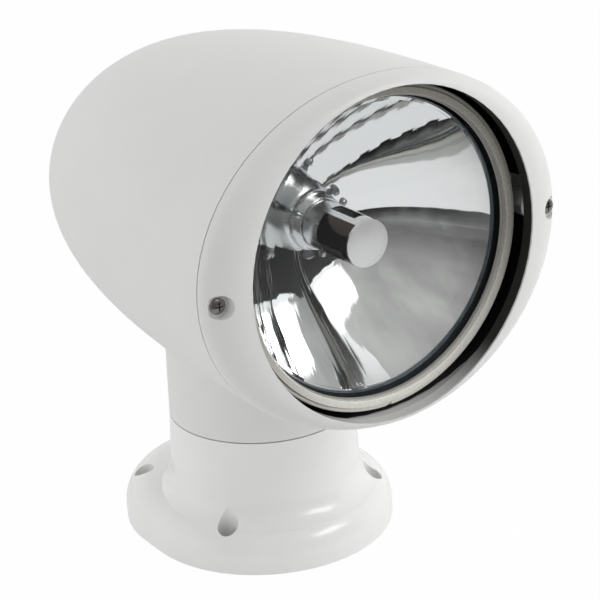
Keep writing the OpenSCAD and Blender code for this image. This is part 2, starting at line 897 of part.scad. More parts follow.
module pan_spindle() {
  color("#a9acae")
    difference() {
      union() {
        cylinder_between(spindle_r, spindle_end_z, ledge_z + join);
        cylinder_between(spindle_flange_r, ledge_z, ledge_z + spindle_flange_t);
      }
      cylinder(r = spindle_bore_r, h = 2 * seam_z);
      translate([0, 0, clip_z])
        difference() {
          cylinder(r = spindle_r + join, h = clip_t + 2 * thread_fit);
          cylinder(r = spindle_r - clip_groove, h = clip_t + 2 * thread_fit);
        }
    }
}

module pan_gear() {
  color("#d9d4c4")
    difference() {
      union() {
        translate([0, 0, pan_gear_z])
          linear_extrude(height = pan_gear_w)
            gear_outline(pan_gear_teeth, 90);
        cylinder_between(hub_r, hub_z, turntable_z);
      }
      cylinder(r = spindle_r + thread_fit, h = 2 * seam_z);
      for (a = [0:60:300])
        rotate([0, 0, a])
          translate([(hub_r + pan_pitch_r) / 2, 0, pan_gear_z - join])
            cylinder(r = gear_hole_r, h = pan_gear_w + 2 * join);
    }
}

module thrust_washer() {
  color("#c9c2b0")
    translate([0, 0, plate_z - washer_t])
      difference() {
        cylinder(r = bush_r + washer_rim, h = washer_t);
        translate([0, 0, -join])
          cylinder(r = spindle_r + running_fit, h = washer_t + 2 * join);
      }
}

module spindle_clip() {
  color("#6f7274")
    translate([0, 0, clip_z + thread_fit])
      difference() {
        cylinder(r = spindle_r + clip_rim, h = clip_t);
        translate([0, 0, -join])
          cylinder(r = spindle_r - clip_groove + thread_fit, h = clip_t + 2 * join);
        translate([-clip_slot_w / 2, -2 * spindle_r, -join])
          cube([clip_slot_w, 2 * spindle_r, clip_t + 2 * join]);
      }
}

// One pivot bracket on the +X side
module pivot_bracket() {
  difference() {
    union() {
      translate([bracket_x, -pad_front, head_z - pad_half])
        cube([pad_x - bracket_x, pad_front - pad_back, 2 * pad_half]);
      translate([bracket_x, -tilt_y, head_z - eye_r])
        cube([pad_x - bracket_x, tilt_y - pad_front + join, 2 * eye_r]);
      translate([0, -tilt_y, head_z])
        bar_x(eye_r, bracket_x, pad_x);
    }
    translate([0, -tilt_y, head_z])
      bar_x(pin_r + running_fit, bracket_x - join, pad_x + join);
    for (z = [-1, 1])
      translate([0, -pad_screw_y, head_z + z * pad_screw_z])
        bar_x(small_screw_r + thread_fit, bracket_x - join, pad_x + join);
  }
}

module pivot_brackets() {
  color("#a9acae")
    for (side = [0, 1])
      mirror([side, 0, 0])
        pivot_bracket();
}

module bracket_screws() {
  color("#b9bcbe")
    for (side = [0, 1])
      mirror([side, 0, 0])
        for (z = [-1, 1])
          translate([bracket_x, -pad_screw_y, head_z + z * pad_screw_z])
            rotate([0, -90, 0])
              screw(small_screw_r, bracket_screw_l);
}

module tilt_bracket() {
  plate_x = tilt_plate_x;
  color("#9a9d9f")
    difference() {
      union() {
        translate([plate_x, 0, 0])
          rotate([90, 0, 90])
            linear_extrude(height = tilt_plate_t)
              polygon([[tilt_foot_y, ledge_z], [tilt_foot_y + tilt_foot_l, ledge_z],
                [tilt_foot_y + tilt_foot_l, ledge_z + tilt_leg_l], [tilt_motor_y + tilt_rim, tilt_motor_z],
                [tilt_motor_y + tilt_rim, tilt_motor_z + tilt_rim],
                [tilt_motor_y - tilt_rim, tilt_motor_z + tilt_rim],
                [tilt_motor_y - tilt_rim, tilt_motor_z - tilt_rim],
                [tilt_motor_y, tilt_motor_z - tilt_rim], [tilt_foot_y, ledge_z + tilt_leg_l]]);
        translate([plate_x, tilt_foot_y, ledge_z])
          cube([tilt_foot_w, tilt_foot_l, tilt_foot_t]);
      }
      translate([0, tilt_motor_y, tilt_motor_z]) {
        bar_x(pan_collar_r + thread_fit, plate_x - join, plate_x + tilt_plate_t + join);
        for (z = [-1, 1])
          translate([0, 0, z * tilt_motor_screw_z])
            bar_x(small_screw_r + thread_fit, plate_x - join, plate_x + tilt_plate_t + join);
      }
      for (x = tilt_screw_x)
        translate([x, tilt_screw_y, ledge_z - join])
          cylinder(r = small_screw_r + thread_fit, h = tilt_foot_t + 2 * join);
    }
}

module tilt_bracket_screws() {
  color("#b9bcbe")
    for (x = tilt_screw_x)
      translate([x, tilt_screw_y, ledge_z + tilt_foot_t])
        screw(small_screw_r, tilt_foot_t + turntable_t - 0.5);
}

module tilt_motor() {
  face_x = tilt_plate_x + tilt_plate_t;
  color("#8e9193")
    translate([0, tilt_motor_y, tilt_motor_z])
      difference() {
        union() {
          bar_x(tilt_motor_d / 2, face_x, face_x + tilt_motor_l);
          bar_x(tilt_motor_d / 2 - motor_end_inset, face_x, face_x + tilt_motor_l + motor_end_t);
          bar_x(pan_collar_r, tilt_plate_x, face_x + join);
          bar_x(tilt_shaft_r, sector_x - join, face_x);
          for (y = [-1, 1])
            translate([face_x + tilt_motor_l, y * terminal_x - terminal_t / 2, -terminal_w / 2])
              cube([motor_end_t + terminal_l, terminal_t, terminal_w]);
        }
        for (z = [-1, 1])
          translate([0, 0, z * tilt_motor_screw_z])
            bar_x(small_screw_r + thread_fit, face_x - join, face_x + motor_screw_l + tip_room);
      }
}

module tilt_motor_screws() {
  color("#b9bcbe")
    for (z = [-1, 1])
      translate([tilt_plate_x, tilt_motor_y, tilt_motor_z + z * tilt_motor_screw_z])
        rotate([0, -90, 0])
          screw(small_screw_r, tilt_plate_t + motor_screw_l);
}

module tilt_pinion() {
  color("#d9d4c4")
    translate([sector_x, tilt_motor_y, tilt_motor_z])
      rotate([90, 0, 90])
        difference() {
          linear_extrude(height = sector_t)
            gear_outline(tilt_pinion_teeth, 180 - pinion_angle + 180 / tilt_pinion_teeth);
          translate([0, 0, -join])
            cylinder(r = tilt_shaft_r + running_fit, h = sector_t + 2 * join);
        }
}

module control_board() {
  color("#2f6b4a")
    difference() {
      union() {
        translate([-board_w / 2, board_y, head_z - board_h / 2])
          cube([board_w, board_t, board_h]);
        for (x = relay_x)
          translate([x, board_y - relay_tall, head_z + relay_z])
            cube([relay_w, relay_tall + join, relay_h]);
        translate([socket_x, board_y - socket_tall, head_z + socket_z])
          cube([socket_w, socket_tall + join, socket_h]);
        for (x = capacitor_x)
          translate([x, 0, head_z + capacitor_z])
            bar_y(capacitor_r, board_y - capacitor_tall, board_y + join);
        translate([chip_x, board_y - chip_tall, head_z + chip_z])
          cube([chip_w, chip_tall + join, chip_h]);
      }
      for (x = [-1, 1])
        for (z = [-1, 1])
          translate([x * board_hole_x, 0, head_z + z * board_hole_z])
            bar_y(small_screw_r + loose_fit, board_y - join, board_y + board_t + join);
    }
}

module board_screws() {
  color("#b9bcbe")
    for (x = [-1, 1])
      for (z = [-1, 1])
        translate([x * board_hole_x, board_y, head_z + z * board_hole_z])
          rotate([90, 0, 0])
            screw(small_screw_r, board_screw_l);
}

// Places of the radial screws of the retaining ring, pointing outwards along Z
module ring_places() {
  for (a = [0, 120, 240])
    translate([0, ring_screw_y, head_z])
      rotate([0, a, 0])
        children();
}

module lamp_cradle() {
  color("#55585b")
    difference() {
      union() {
        turned([[cradle_in_r, cradle_y], [cradle_r, cradle_y], [cradle_r, cradle_back_y],
          [cradle_in_r, cradle_back_y]]);
        for (side = [0, 1])
          mirror([side, 0, 0])
            translate([pin_in_x - 1, ring_y + ring_l + loose_fit, head_z - ear_half])
              cube([ear_x - pin_in_x + 1, cradle_back_y - ring_y - ring_l - loose_fit, 2 * ear_half]);
        intersection() {
          translate([lug_x[0], cradle_back_y - lug_t, head_z - cradle_r])
            cube([lug_x[1] - lug_x[0], lug_t, cradle_r - lug_in_r]);
          translate([0, 0, head_z])
            bar_y(cradle_r, cradle_y, cradle_back_y);
        }
      }
      for (side = [0, 1])
        mirror([side, 0, 0])
          translate([0, -tilt_y, head_z])
            bar_x(pin_r, pin_in_x, ear_x + join);
      for (x = sector_screw_x)
        translate([x, 0, head_z - sector_screw_r])
          bar_y(small_screw_r + thread_fit, cradle_back_y - lug_t - join, cradle_back_y + join);
      ring_places()
        cylinder(r = ring_screw_r + thread_fit, h = ring_r);
    }
}

module trunnion_pins() {
  color("#b4b7b9")
    for (side = [0, 1])
      mirror([side, 0, 0])
        translate([0, -tilt_y, head_z])
          bar_x(pin_r, pin_in_x, pin_out_x);
}

module tilt_sector() {
  back = cradle_back_y + tilt_y;
  count = floor(2 * sector_reach * sector_teeth / 360);
  start = -pinion_angle - floor(count / 2) * 360 / sector_teeth;
  in_r = sector_r - sector_band;
  color("#d9d4c4")
    difference() {
      union() {
        translate([sector_x, -tilt_y, head_z])
          rotate([90, 0, 90])
            linear_extrude(height = sector_t) {
              polygon(polar(concat(
                [for (i = [0:count]) each tooth(start + i * 360 / sector_teeth, sector_r, gear_module,
                  90 / sector_teeth)],
                [for (i = [count:-1:0]) [in_r, start + i * 360 / sector_teeth]])));
              polygon([[back, -cradle_r + 1.5], [back + sector_foot_t, -cradle_r + 1.5],
                [sector_r * cos(start) - 0.5, (sector_r - 2) * sin(start)],
                [in_r * cos(start + 4), in_r * sin(start + 4)], [back, -lug_in_r]]);
            }
        translate([lug_x[0] + 0.5, cradle_back_y, head_z - cradle_r + 1.5])
          cube([lug_x[1] - lug_x[0] - 0.5, sector_foot_t, cradle_r - lug_in_r - 1.5]);
      }
      for (x = sector_screw_x)
        translate([x, 0, head_z - sector_screw_r])
          bar_y(small_screw_r + loose_fit, cradle_back_y - join, cradle_back_y + sector_foot_t + join);
    }
}

module sector_screws() {
  color("#b9bcbe")
    for (x = sector_screw_x)
      translate([x, cradle_back_y + sector_foot_t, head_z - sector_screw_r])
        rotate([-90, 0, 0])
          screw(small_screw_r, sector_foot_t + lug_t - 0.5);
}

module retaining_ring() {
  back = ring_y + ring_l;
  color("#d8d5cb")
    difference() {
      turned([[ring_lip_r, ring_y + ring_edge], [ring_lip_r + ring_edge, ring_y],
        [step_r - ring_edge, ring_y], [step_r, ring_y + ring_edge], [step_r, ring_y + step_t],
        [ring_r - ring_edge, ring_y + step_t],
        [ring_r, ring_y + step_t + ring_edge], [ring_r, back], [skirt_in_r, back],
        [skirt_in_r, ring_y + lip_w], [ring_lip_r, ring_y + lip_w]]);
      ring_places()
        cylinder(r = ring_screw_r + loose_fit, h = ring_r + join);
      translate([-notch_w / 2, ring_y - join, head_z - ring_r - join])
        cube([notch_w, notch_l + join, step_w + 2 * join]);
    }
}

module ring_screws() {
  color("#b9bcbe")
    ring_places()
      translate([0, 0, ring_r])
        screw(ring_screw_r, ring_r - cradle_in_r - loose_fit);
}

module lamp_seal() {
  color("#232426")
    turned([[seal_in_r, ring_y + lip_w], [skirt_in_r - loose_fit, ring_y + lip_w],
      [skirt_in_r - loose_fit, glass_front_y], [seal_in_r, glass_front_y]]);
}

// Height of the glass dome at a distance from the lamp axis
function dome(r, edge) = glass_dome * (1 - r * r / (edge * edge));

module lamp_lens() {
  steps = 14;
  edge = ring_lip_r - dome_inset;
  inner = edge - glass_t + 1;
  back_y = glass_front_y + glass_t;
  color("#cfdbe0")
    turned(concat([[0, glass_front_y - dome(0, edge)]],
      [for (i = [1:steps]) let (r = edge * i / steps) [r, glass_front_y - dome(r, edge)]],
      [[glass_r, glass_front_y], [glass_r, flange_y], [inner, flange_y], [inner, back_y]],
      [for (i = [steps - 1:-1:0]) let (r = inner * i / steps) [r, back_y - dome(r, inner)]]));
}

// Depth of the reflector at a distance from the lamp axis
function bowl(r) = vertex_y - r * r / (4 * reflector_f);

module reflector() {
  steps = 22;
  collar_r = bulb_hole_r + holder_rim;
  color("#c8ccd0")
    turned(concat(
      [for (i = [0:steps]) let (r = bulb_hole_r + (reflector_rim_r - bulb_hole_r) * i / steps) [r, bowl(r)]],
      [[glass_r, flange_y], [glass_r, cradle_y], [reflector_rim_r + reflector_t * 1.5, cradle_y]],
      [for (i = [steps:-1:0]) let (r = collar_r + (reflector_rim_r - collar_r) * i / steps)
        [r + reflector_t * 0.7, bowl(r) + reflector_t]],
      [[collar_r, vertex_y + 0.5], [collar_r, holder_y], [bulb_hole_r, holder_y]]));
}

// Places of the shield legs around the lamp axis, with the leg along +X
module leg_places() {
  for (a = leg_angles)
    translate([0, 0, head_z])
      rotate([0, -a, 0])
        children();
}

module bulb_holder() {
  bore_r = bulb_base_r + loose_fit;
  tube_r = bulb_hole_r - loose_fit;
  color("#b0b3b5")
    difference() {
      turned([[bulb_mouth_r, holder_front_y], [holder_disc_r, holder_front_y],
        [holder_disc_r, holder_front_y + holder_disc_t], [tube_r, holder_front_y + holder_disc_t],
        [tube_r, holder_y], [holder_r, holder_y], [holder_r, holder_y + holder_t],
        [bore_r, holder_y + holder_t], [bore_r, bulb_seat_y], [bulb_mouth_r, bulb_seat_y]]);
      leg_places()
        translate([rivet_ring, 0, 0])
          bar_y(rivet_r + thread_fit, holder_front_y - join, holder_front_y + holder_disc_t + join);
    }
}

module holder_rivets() {
  color("#c4c7c9")
    leg_places()
      translate([rivet_ring, 0, 0]) {
        bar_y(rivet_r, holder_front_y - shield_t - join, holder_front_y + holder_disc_t);
        translate([0, holder_front_y - shield_t, 0])
          intersection() {
            bar_y(rivet_head_r, -rivet_head_t, 0);
            sphere(r = rivet_dome_r);
          }
      }
}

module bulb_base() {
  rim_y = holder_y + holder_t;
  color("#9fa2a4")
    turned([[0, bulb_seat_y], [bulb_base_r, bulb_seat_y], [bulb_base_r, rim_y], [bulb_rim_r, rim_y],
      [bulb_rim_r, rim_y + bulb_rim_t], [bulb_plug_r, rim_y + bulb_rim_t],
      [bulb_plug_r, rim_y + bulb_plug_l], [0, rim_y + bulb_plug_l]]);
}

module bulb() {
  tip_y = bulb_seat_y - bulb_l;
  steps = 8;
  turn = 90 / steps;
  color("#dfe8ec")
    turned(concat([[0, tip_y]],
      [for (i = [1:steps]) [bulb_r * sin(turn * i), tip_y + bulb_tip * (1 - cos(turn * i))]],
      [[bulb_r, bulb_seat_y], [0, bulb_seat_y]]));
}

module bulb_shield() {
  in_r = shield_r - shield_t;
  foot_from = in_r + 0.2 * shield_t;
  leg_end_y = holder_front_y - 0.4 * shield_t;
  color("#c9cdd0")
    difference() {
      union() {
        turned([[0, shield_y], [shield_r - shield_edge, shield_y], [shield_r, shield_y + shield_edge],
          [shield_r, leg_end_y], [in_r, leg_end_y], [in_r, shield_y + shield_t + shield_edge],
          [in_r - shield_edge, shield_y + shield_t], [0, shield_y + shield_t]]);
        leg_places()
          translate([foot_from, holder_front_y - shield_t, -shield_arm_w / 2])
            cube([rivet_ring + rivet_margin - foot_from, shield_t, shield_arm_w]);
      }
      leg_places() {
        rotate([0, 60, 0])
          translate([0, shield_y + shield_depth, -window_w / 2])
            cube([2 * shield_r, holder_front_y - shield_y, window_w]);
        translate([rivet_ring, 0, 0])
          bar_y(rivet_r + thread_fit, holder_front_y - shield_t - join, holder_front_y + join);
      }
    }
}

module bulb_clip() {
  wire_y = holder_y + holder_t + bulb_rim_t + clip_wire_r;
  open_half = (360 - clip_arc) / 2;
  color("#b4b7b9")
    translate([0, wire_y, head_z])
      rotate([-90, 0, 0]) {
        rotate([0, 0, open_half])
          rotate_extrude(angle = clip_arc)
            translate([clip_ring_r, 0])
              circle(r = clip_wire_r, $fn = 24);
        for (a = [open_half, -open_half])
          rotate([0, 0, a])
            translate([clip_ring_r, 0, 0])
              rotate([0, 90, 0])
                cylinder(r = clip_wire_r, h = clip_tail_l, $fn = 24);
      }
}

deck_gasket();
deck_base();
base_cover();
cover_screws();
cable_gland();
gland_nut();
pan_bush();
pan_seal();
pan_motor();
pan_motor_screws();
pan_pinion();
rear_housing();
front_bezel();
bezel_gasket();
bezel_screws();
turntable();
turntable_screws();
pan_spindle();
pan_gear();
thrust_washer();
spindle_clip();
pivot_brackets();
bracket_screws();
tilt_bracket();
tilt_bracket_screws();
tilt_motor();
tilt_motor_screws();
tilt_pinion();
control_board();
board_screws();
lamp_cradle();
trunnion_pins();
tilt_sector();
sector_screws();
retaining_ring();
ring_screws();
lamp_seal();
lamp_lens();
reflector();
bulb_holder();
holder_rivets();
bulb();
bulb_base();
bulb_shield();
bulb_clip();
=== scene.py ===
# %% [markdown]
# # A marine searchlight
# The CAD frame gives every piece its place and size. This lesson dresses it: finishes for every surface,
# smooth shells, the neck and shield of the bulb modelled closely, then soft studio light and a camera at
# the photograph's angle.

# %% Load the frame
import json
from math import atan2, cos, degrees, pi, radians, sin

import bpy
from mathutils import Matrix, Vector


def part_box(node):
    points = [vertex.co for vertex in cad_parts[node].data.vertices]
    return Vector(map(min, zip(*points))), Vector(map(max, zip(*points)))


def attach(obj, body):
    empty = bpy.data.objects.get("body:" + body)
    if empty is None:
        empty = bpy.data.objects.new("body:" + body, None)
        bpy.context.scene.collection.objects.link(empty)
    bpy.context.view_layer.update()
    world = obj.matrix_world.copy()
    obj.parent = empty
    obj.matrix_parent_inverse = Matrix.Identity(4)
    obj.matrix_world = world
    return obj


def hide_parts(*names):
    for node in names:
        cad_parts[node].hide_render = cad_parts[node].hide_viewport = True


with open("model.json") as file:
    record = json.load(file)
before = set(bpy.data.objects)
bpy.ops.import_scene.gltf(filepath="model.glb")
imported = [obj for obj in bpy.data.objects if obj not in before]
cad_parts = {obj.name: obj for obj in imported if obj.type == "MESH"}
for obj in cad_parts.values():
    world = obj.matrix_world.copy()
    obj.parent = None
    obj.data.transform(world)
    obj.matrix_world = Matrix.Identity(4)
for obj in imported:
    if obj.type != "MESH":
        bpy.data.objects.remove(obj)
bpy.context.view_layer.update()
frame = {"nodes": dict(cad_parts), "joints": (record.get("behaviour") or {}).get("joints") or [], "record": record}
nodes = frame["nodes"]
MM = 0.001

# %% [markdown]
# ## Node helper and colours
# Every finish below is a small tree of shader nodes. One helper adds any node with its settings and
# links, so that a tree reads from top to bottom like a recipe. Colours are written as sRGB hex, the way
# a paint chart gives them, and turned to the linear values that the shaders work in.

# %% Node helper
def linear(code):
    """Linear RGBA of an sRGB hex colour."""
    parts = [int(code[i:i + 2], 16) / 255 for i in (1, 3, 5)]
    return [p / 12.92 if p <= 0.04045 else ((p + 0.055) / 1.055) ** 2.4 for p in parts] + [1.0]


def add(tree, kind, sockets=None, **settings):
    """Add a shader node, set its properties, and fill or link its sockets by name or number."""
    made = tree.nodes.new("ShaderNode" + kind)
    for name, value in settings.items():
        setattr(made, name, value)
    for name, value in (sockets or {}).items():
        if isinstance(value, bpy.types.NodeSocket):
            tree.links.new(value, made.inputs[name])
        else:
            made.inputs[name].default_value = value
    return made


def new_finish(name):
    """An empty material and its node tree."""
    made = bpy.data.materials.new(name)
    made.use_nodes = True
    made.node_tree.nodes.clear()
    return made, made.node_tree


print("white ABS in linear light:", [round(c, 3) for c in linear("#e4e4e3")])

# %% [markdown]
# ## Moulded plastics
# The head is satin white ABS from a fine textured mould, and the base is a slightly whiter ABS from a
# polished mould. Both are one recipe: a cloudy variation of a few centimetres for colour and gloss, and a
# bump for the mould's skin. A flat colour would look like paint in the air, so even white is varied.

# %% Plastic recipe
CLOUD_MM = 35
SKIN_STRENGTH = 0.35
PLASTIC_IOR = 1.5


def plastic(name, light, dark, gloss, grain_mm, grain_depth_mm):
    """Moulded plastic: two close tones, a roughness range, and a skin with a real grain size."""
    made, tree = new_finish(name)
    place = add(tree, "TexCoord").outputs["Object"]
    cloud = add(tree, "TexNoise", {"Vector": place, "Scale": 1 / (CLOUD_MM * MM), "Detail": 3.0})
    tone = add(tree, "MixRGB", {0: cloud.outputs["Fac"], 1: linear(dark), 2: linear(light)})
    rough = add(tree, "MapRange", {"Value": cloud.outputs["Fac"], "To Min": gloss[0], "To Max": gloss[1]})
    skin = add(tree, "TexNoise", {"Vector": place, "Scale": 1 / (grain_mm * MM), "Detail": 2.0})
    bump = add(tree, "Bump", {"Height": skin.outputs["Fac"], "Strength": SKIN_STRENGTH,
                              "Distance": grain_depth_mm * MM})
    shader = add(tree, "BsdfPrincipled", {"Base Color": tone.outputs[0], "Roughness": rough.outputs[0],
                                          "IOR": PLASTIC_IOR, "Normal": bump.outputs[0]})
    add(tree, "OutputMaterial", {"Surface": shader.outputs[0]})
    return made


# Satin ABS: a fine spark-eroded skin scatters the light, so highlights are broad and soft.
satin_white = plastic("satin_white_abs", "#e4e4e3", "#dededd", (0.38, 0.48), 0.9, 0.02)
# Polished ABS: a glossy skin with a faint orange peel, so highlights are small and slightly wavy.
gloss_white = plastic("gloss_white_abs", "#f0f0ef", "#ebebea", (0.10, 0.17), 9.0, 0.04)
# Black glass filled nylon: dark, with a slightly dry skin.
black_nylon = plastic("black_nylon", "#2b2d30", "#1d1f21", (0.45, 0.6), 0.6, 0.03)
# Grey polypropylene of the closing plate.
grey_cover = plastic("grey_polypropylene", "#6a6c6e", "#595b5d", (0.4, 0.55), 0.8, 0.02)
# Acetal of the gears: waxy ivory.
acetal = plastic("ivory_acetal", "#dcd6c4", "#cfc8b4", (0.28, 0.4), 1.2, 0.01)
# EPDM rubber of gaskets and seals: nearly black and matt.
rubber = plastic("black_epdm_rubber", "#242426", "#161617", (0.65, 0.85), 0.5, 0.04)
# Grey silicone of the gaskets in view, in the seam of the head and around the lamp: paler than the rest.
grey_silicone = plastic("grey_silicone_rubber", "#a9a8a5", "#9c9b98", (0.5, 0.65), 0.6, 0.03)
# Green solder mask over glass epoxy.
solder_mask = plastic("green_solder_mask", "#2f6b4a", "#1f5136", (0.2, 0.35), 2.0, 0.02)
print("plastics: 8 finishes")

# %% [markdown]
# ## Painted light and shade on the ring and the lip
# The ring that holds the lamp is natural glass filled nylon. Its top is painted warm grey as painted shade,
# and its lower half is painted almost white as painted light. The inside of the lip is painted black as
# painted shade, which fades to white at the bottom of the opening. One recipe serves both: two tones that
# change over with height, and a fine speckle so that neither tone is flat.

# %% Painted light and shade by height
SPECK_MM = 0.8
SPECK_STRENGTH = 0.3
SPECK_DEPTH_MM = 0.02
RING_PAINTED_LIGHT_MM = 112
RING_PAINTED_SHADE_MM = 190
LIP_SHADE_ENDS_MM = 100
LIP_SHADE_FULL_MM = 130


# Painted light and shade: the tones change with height to stand in for how light falls on the part.
def painted_shade_by_height(name, upper, lower, low_mm, high_mm, gloss):
    """Two pairs of tones that change over with height: lower up to one level, upper from another."""
    made, tree = new_finish(name)
    place = add(tree, "TexCoord").outputs["Object"]
    specks = add(tree, "TexNoise", {"Vector": place, "Scale": 1 / (SPECK_MM * MM), "Detail": 2.0})
    height = add(tree, "SeparateXYZ", {0: place})
    share = add(tree, "MapRange", {"Value": height.outputs["Z"], "From Min": low_mm * MM,
                                   "From Max": high_mm * MM}, interpolation_type="SMOOTHSTEP")
    above = add(tree, "MixRGB", {0: specks.outputs["Fac"], 1: linear(upper[0]), 2: linear(upper[1])})
    below = add(tree, "MixRGB", {0: specks.outputs["Fac"], 1: linear(lower[0]), 2: linear(lower[1])})
    tone = add(tree, "MixRGB", {0: share.outputs[0], 1: below.outputs[0], 2: above.outputs[0]})
    rough = add(tree, "MapRange", {"Value": specks.outputs["Fac"], "To Min": gloss[0], "To Max": gloss[1]})
    bump = add(tree, "Bump", {"Height": specks.outputs["Fac"], "Strength": SPECK_STRENGTH,
                              "Distance": SPECK_DEPTH_MM * MM})
    shader = add(tree, "BsdfPrincipled", {"Base Color": tone.outputs[0], "Roughness": rough.outputs[0],
                                          "IOR": PLASTIC_IOR, "Normal": bump.outputs[0]})
    add(tree, "OutputMaterial", {"Surface": shader.outputs[0]})
    return made


# Natural nylon with painted shade: warm grey with a soft gloss above as painted shade, almost white below as
# painted light.
ring_nylon_painted_shade = painted_shade_by_height("natural_nylon_painted_light_and_shade", ("#98958c", "#aaa79e"), ("#e6e4dc", "#efede6"),
                   RING_PAINTED_LIGHT_MM, RING_PAINTED_SHADE_MM, (0.22, 0.32))
# Painted shade on white ABS inside the lip: dark and dry above, fading out to white at the bottom of the opening.
lip_painted_shade = painted_shade_by_height("painted_shade_on_abs_lip", ("#0d0d0e", "#1b1a19"), ("#dcdcda", "#e4e4e3"),
                  LIP_SHADE_ENDS_MM, LIP_SHADE_FULL_MM, (0.45, 0.6))
print("faded finishes: 2")

# %% [markdown]
# ## Metals
# Screws are cold headed stainless steel, brackets are zinc plated, motors sit in drawn cans, the spindle is
# turned alloy and the bush is sintered bronze. The neck and cup of the bulb are spun, blasted and tinted by
# heat. A metal has no colour of its own under the gloss, so the base colour is its reflection. Fine
# stretched noise stands for the marks of the tool.

# %% Metal recipe
MARK_STRETCH = 0.06
MARK_STRENGTH = 0.2
MARK_DEPTH_MM = 0.02


def metal(name, light, dark, gloss, mark_mm, along):
    """Bare metal: two close tones and tool marks that run along one axis."""
    made, tree = new_finish(name)
    place = add(tree, "TexCoord").outputs["Object"]
    stretch = [MARK_STRETCH if axis == along else 1.0 for axis in "XYZ"]
    turn = add(tree, "Mapping", {"Vector": place, "Scale": stretch})
    marks = add(tree, "TexNoise", {"Vector": turn.outputs[0], "Scale": 1 / (mark_mm * MM), "Detail": 4.0})
    tone = add(tree, "MixRGB", {0: marks.outputs["Fac"], 1: linear(dark), 2: linear(light)})
    rough = add(tree, "MapRange", {"Value": marks.outputs["Fac"], "To Min": gloss[0], "To Max": gloss[1]})
    bump = add(tree, "Bump", {"Height": marks.outputs["Fac"], "Strength": MARK_STRENGTH,
                              "Distance": MARK_DEPTH_MM * MM})
    shader = add(tree, "BsdfPrincipled", {"Base Color": tone.outputs[0], "Roughness": rough.outputs[0],
                                          "Metallic": 1.0, "Normal": bump.outputs[0]})
    add(tree, "OutputMaterial", {"Surface": shader.outputs[0]})
    return made


# Stainless steel, cold headed and tumbled: bright, with soft marks.
stainless = metal("tumbled_stainless_steel", "#c9cbcc", "#9fa2a4", (0.18, 0.32), 0.5, "Z")
# The same steel dulled by salt air, on the two screws outside: greyer and less sharp.
dull_stainless = metal("weathered_stainless_steel", "#9a9794", "#74716e", (0.25, 0.4), 0.4, "Y")
# Zinc plated mild steel: greyer, slightly blue.
zinc = metal("zinc_plated_steel", "#b7bbbf", "#94989d", (0.28, 0.42), 0.8, "Z")
# Drawn steel can of a motor: lines along the draw.
motor_can = metal("drawn_steel_can", "#a3a6a8", "#85888b", (0.3, 0.45), 0.6, "Z")
# Turned aluminium alloy: pale with rings from the lathe.
alloy = metal("turned_aluminium_alloy", "#c6c9cb", "#a9acae", (0.25, 0.38), 0.6, "X")
# Sintered bronze: warm and porous.
bronze = metal("sintered_bronze", "#b98f4f", "#94703b", (0.4, 0.55), 0.4, "X")
# Polished steel tinted by the heat of the bulb: dark straw brown, still a mirror.
heat_tint = metal("heat_tinted_polished_steel", "#4b4036", "#2a2725", (0.04, 0.1), 6.0, "Y")
# Coated metal spun over a form: bright, with marks along the axis that draw reflections into streaks.
spun_metal = metal("spun_coated_metal", "#eef0f0", "#cfd3d5", (0.2, 0.32), 2.5, "Y")
# The front of the cup, blasted with fine beads: pale and even, without a sharp reflection.
blasted_metal = metal("bead_blasted_steel", "#fbfbfa", "#f2f2f1", (0.45, 0.55), 0.6, "Z")
print("metals: 9 finishes")

# %% [markdown]
# ## Mirror and glass
# The reflector is glass or steel with a vapour coat of aluminium: nearly perfect, but its pressed shape
# is never quite even, and a low bump of some centimetres lets the reflections wander as they do on the
# real bowl. Shallow upright ribs break its long edges of light into zigzags. They are a few hundredths of
# a millimetre deep, so they are part of the finish. The lens is clear borosilicate glass. Lamps must reach
# the mirror through the glass, so rays that only ask for shadow pass it straight.

# %% Mirror and glass
# A wave texture repeats 20 times in 2 pi, so this scale over the width of a rib gives one wave per rib.
RIB_SCALE = 2 * pi / 20
WAVE_STRENGTH = 0.3
MIRROR_HAZE = (0.015, 0.06)
GLASS_WAVE_MM = 25
GLASS_HAZE = 0.02
# Lower than that of real glass, so that the front of the lens mirrors less of the room.
LENS_IOR = 1.2


def mirror(name, colour, wave_mm, wave_depth_mm, rib_mm, rib_depth_mm):
    """Vapour coated mirror with a gentle waviness and upright ribs of the pressed bowl."""
    made, tree = new_finish(name)
    place = add(tree, "TexCoord").outputs["Object"]
    wave = add(tree, "TexNoise", {"Vector": place, "Scale": 1 / (wave_mm * MM), "Detail": 1.0})
    ribs = add(tree, "TexWave", {"Vector": place, "Scale": RIB_SCALE / (rib_mm * MM)},
               wave_type="BANDS", bands_direction="X", wave_profile="TRI")
    ribbed = add(tree, "Bump", {"Height": ribs.outputs["Fac"], "Strength": 1.0,
                                "Distance": rib_depth_mm * MM})
    bump = add(tree, "Bump", {"Height": wave.outputs["Fac"], "Strength": WAVE_STRENGTH,
                              "Distance": wave_depth_mm * MM, "Normal": ribbed.outputs[0]})
    haze = add(tree, "MapRange", {"Value": wave.outputs["Fac"], "To Min": MIRROR_HAZE[0],
                                  "To Max": MIRROR_HAZE[1]})
    shader = add(tree, "BsdfPrincipled", {"Base Color": linear(colour), "Metallic": 1.0,
                                          "Roughness": haze.outputs[0], "Normal": bump.outputs[0]})
    add(tree, "OutputMaterial", {"Surface": shader.outputs[0]})
    return made


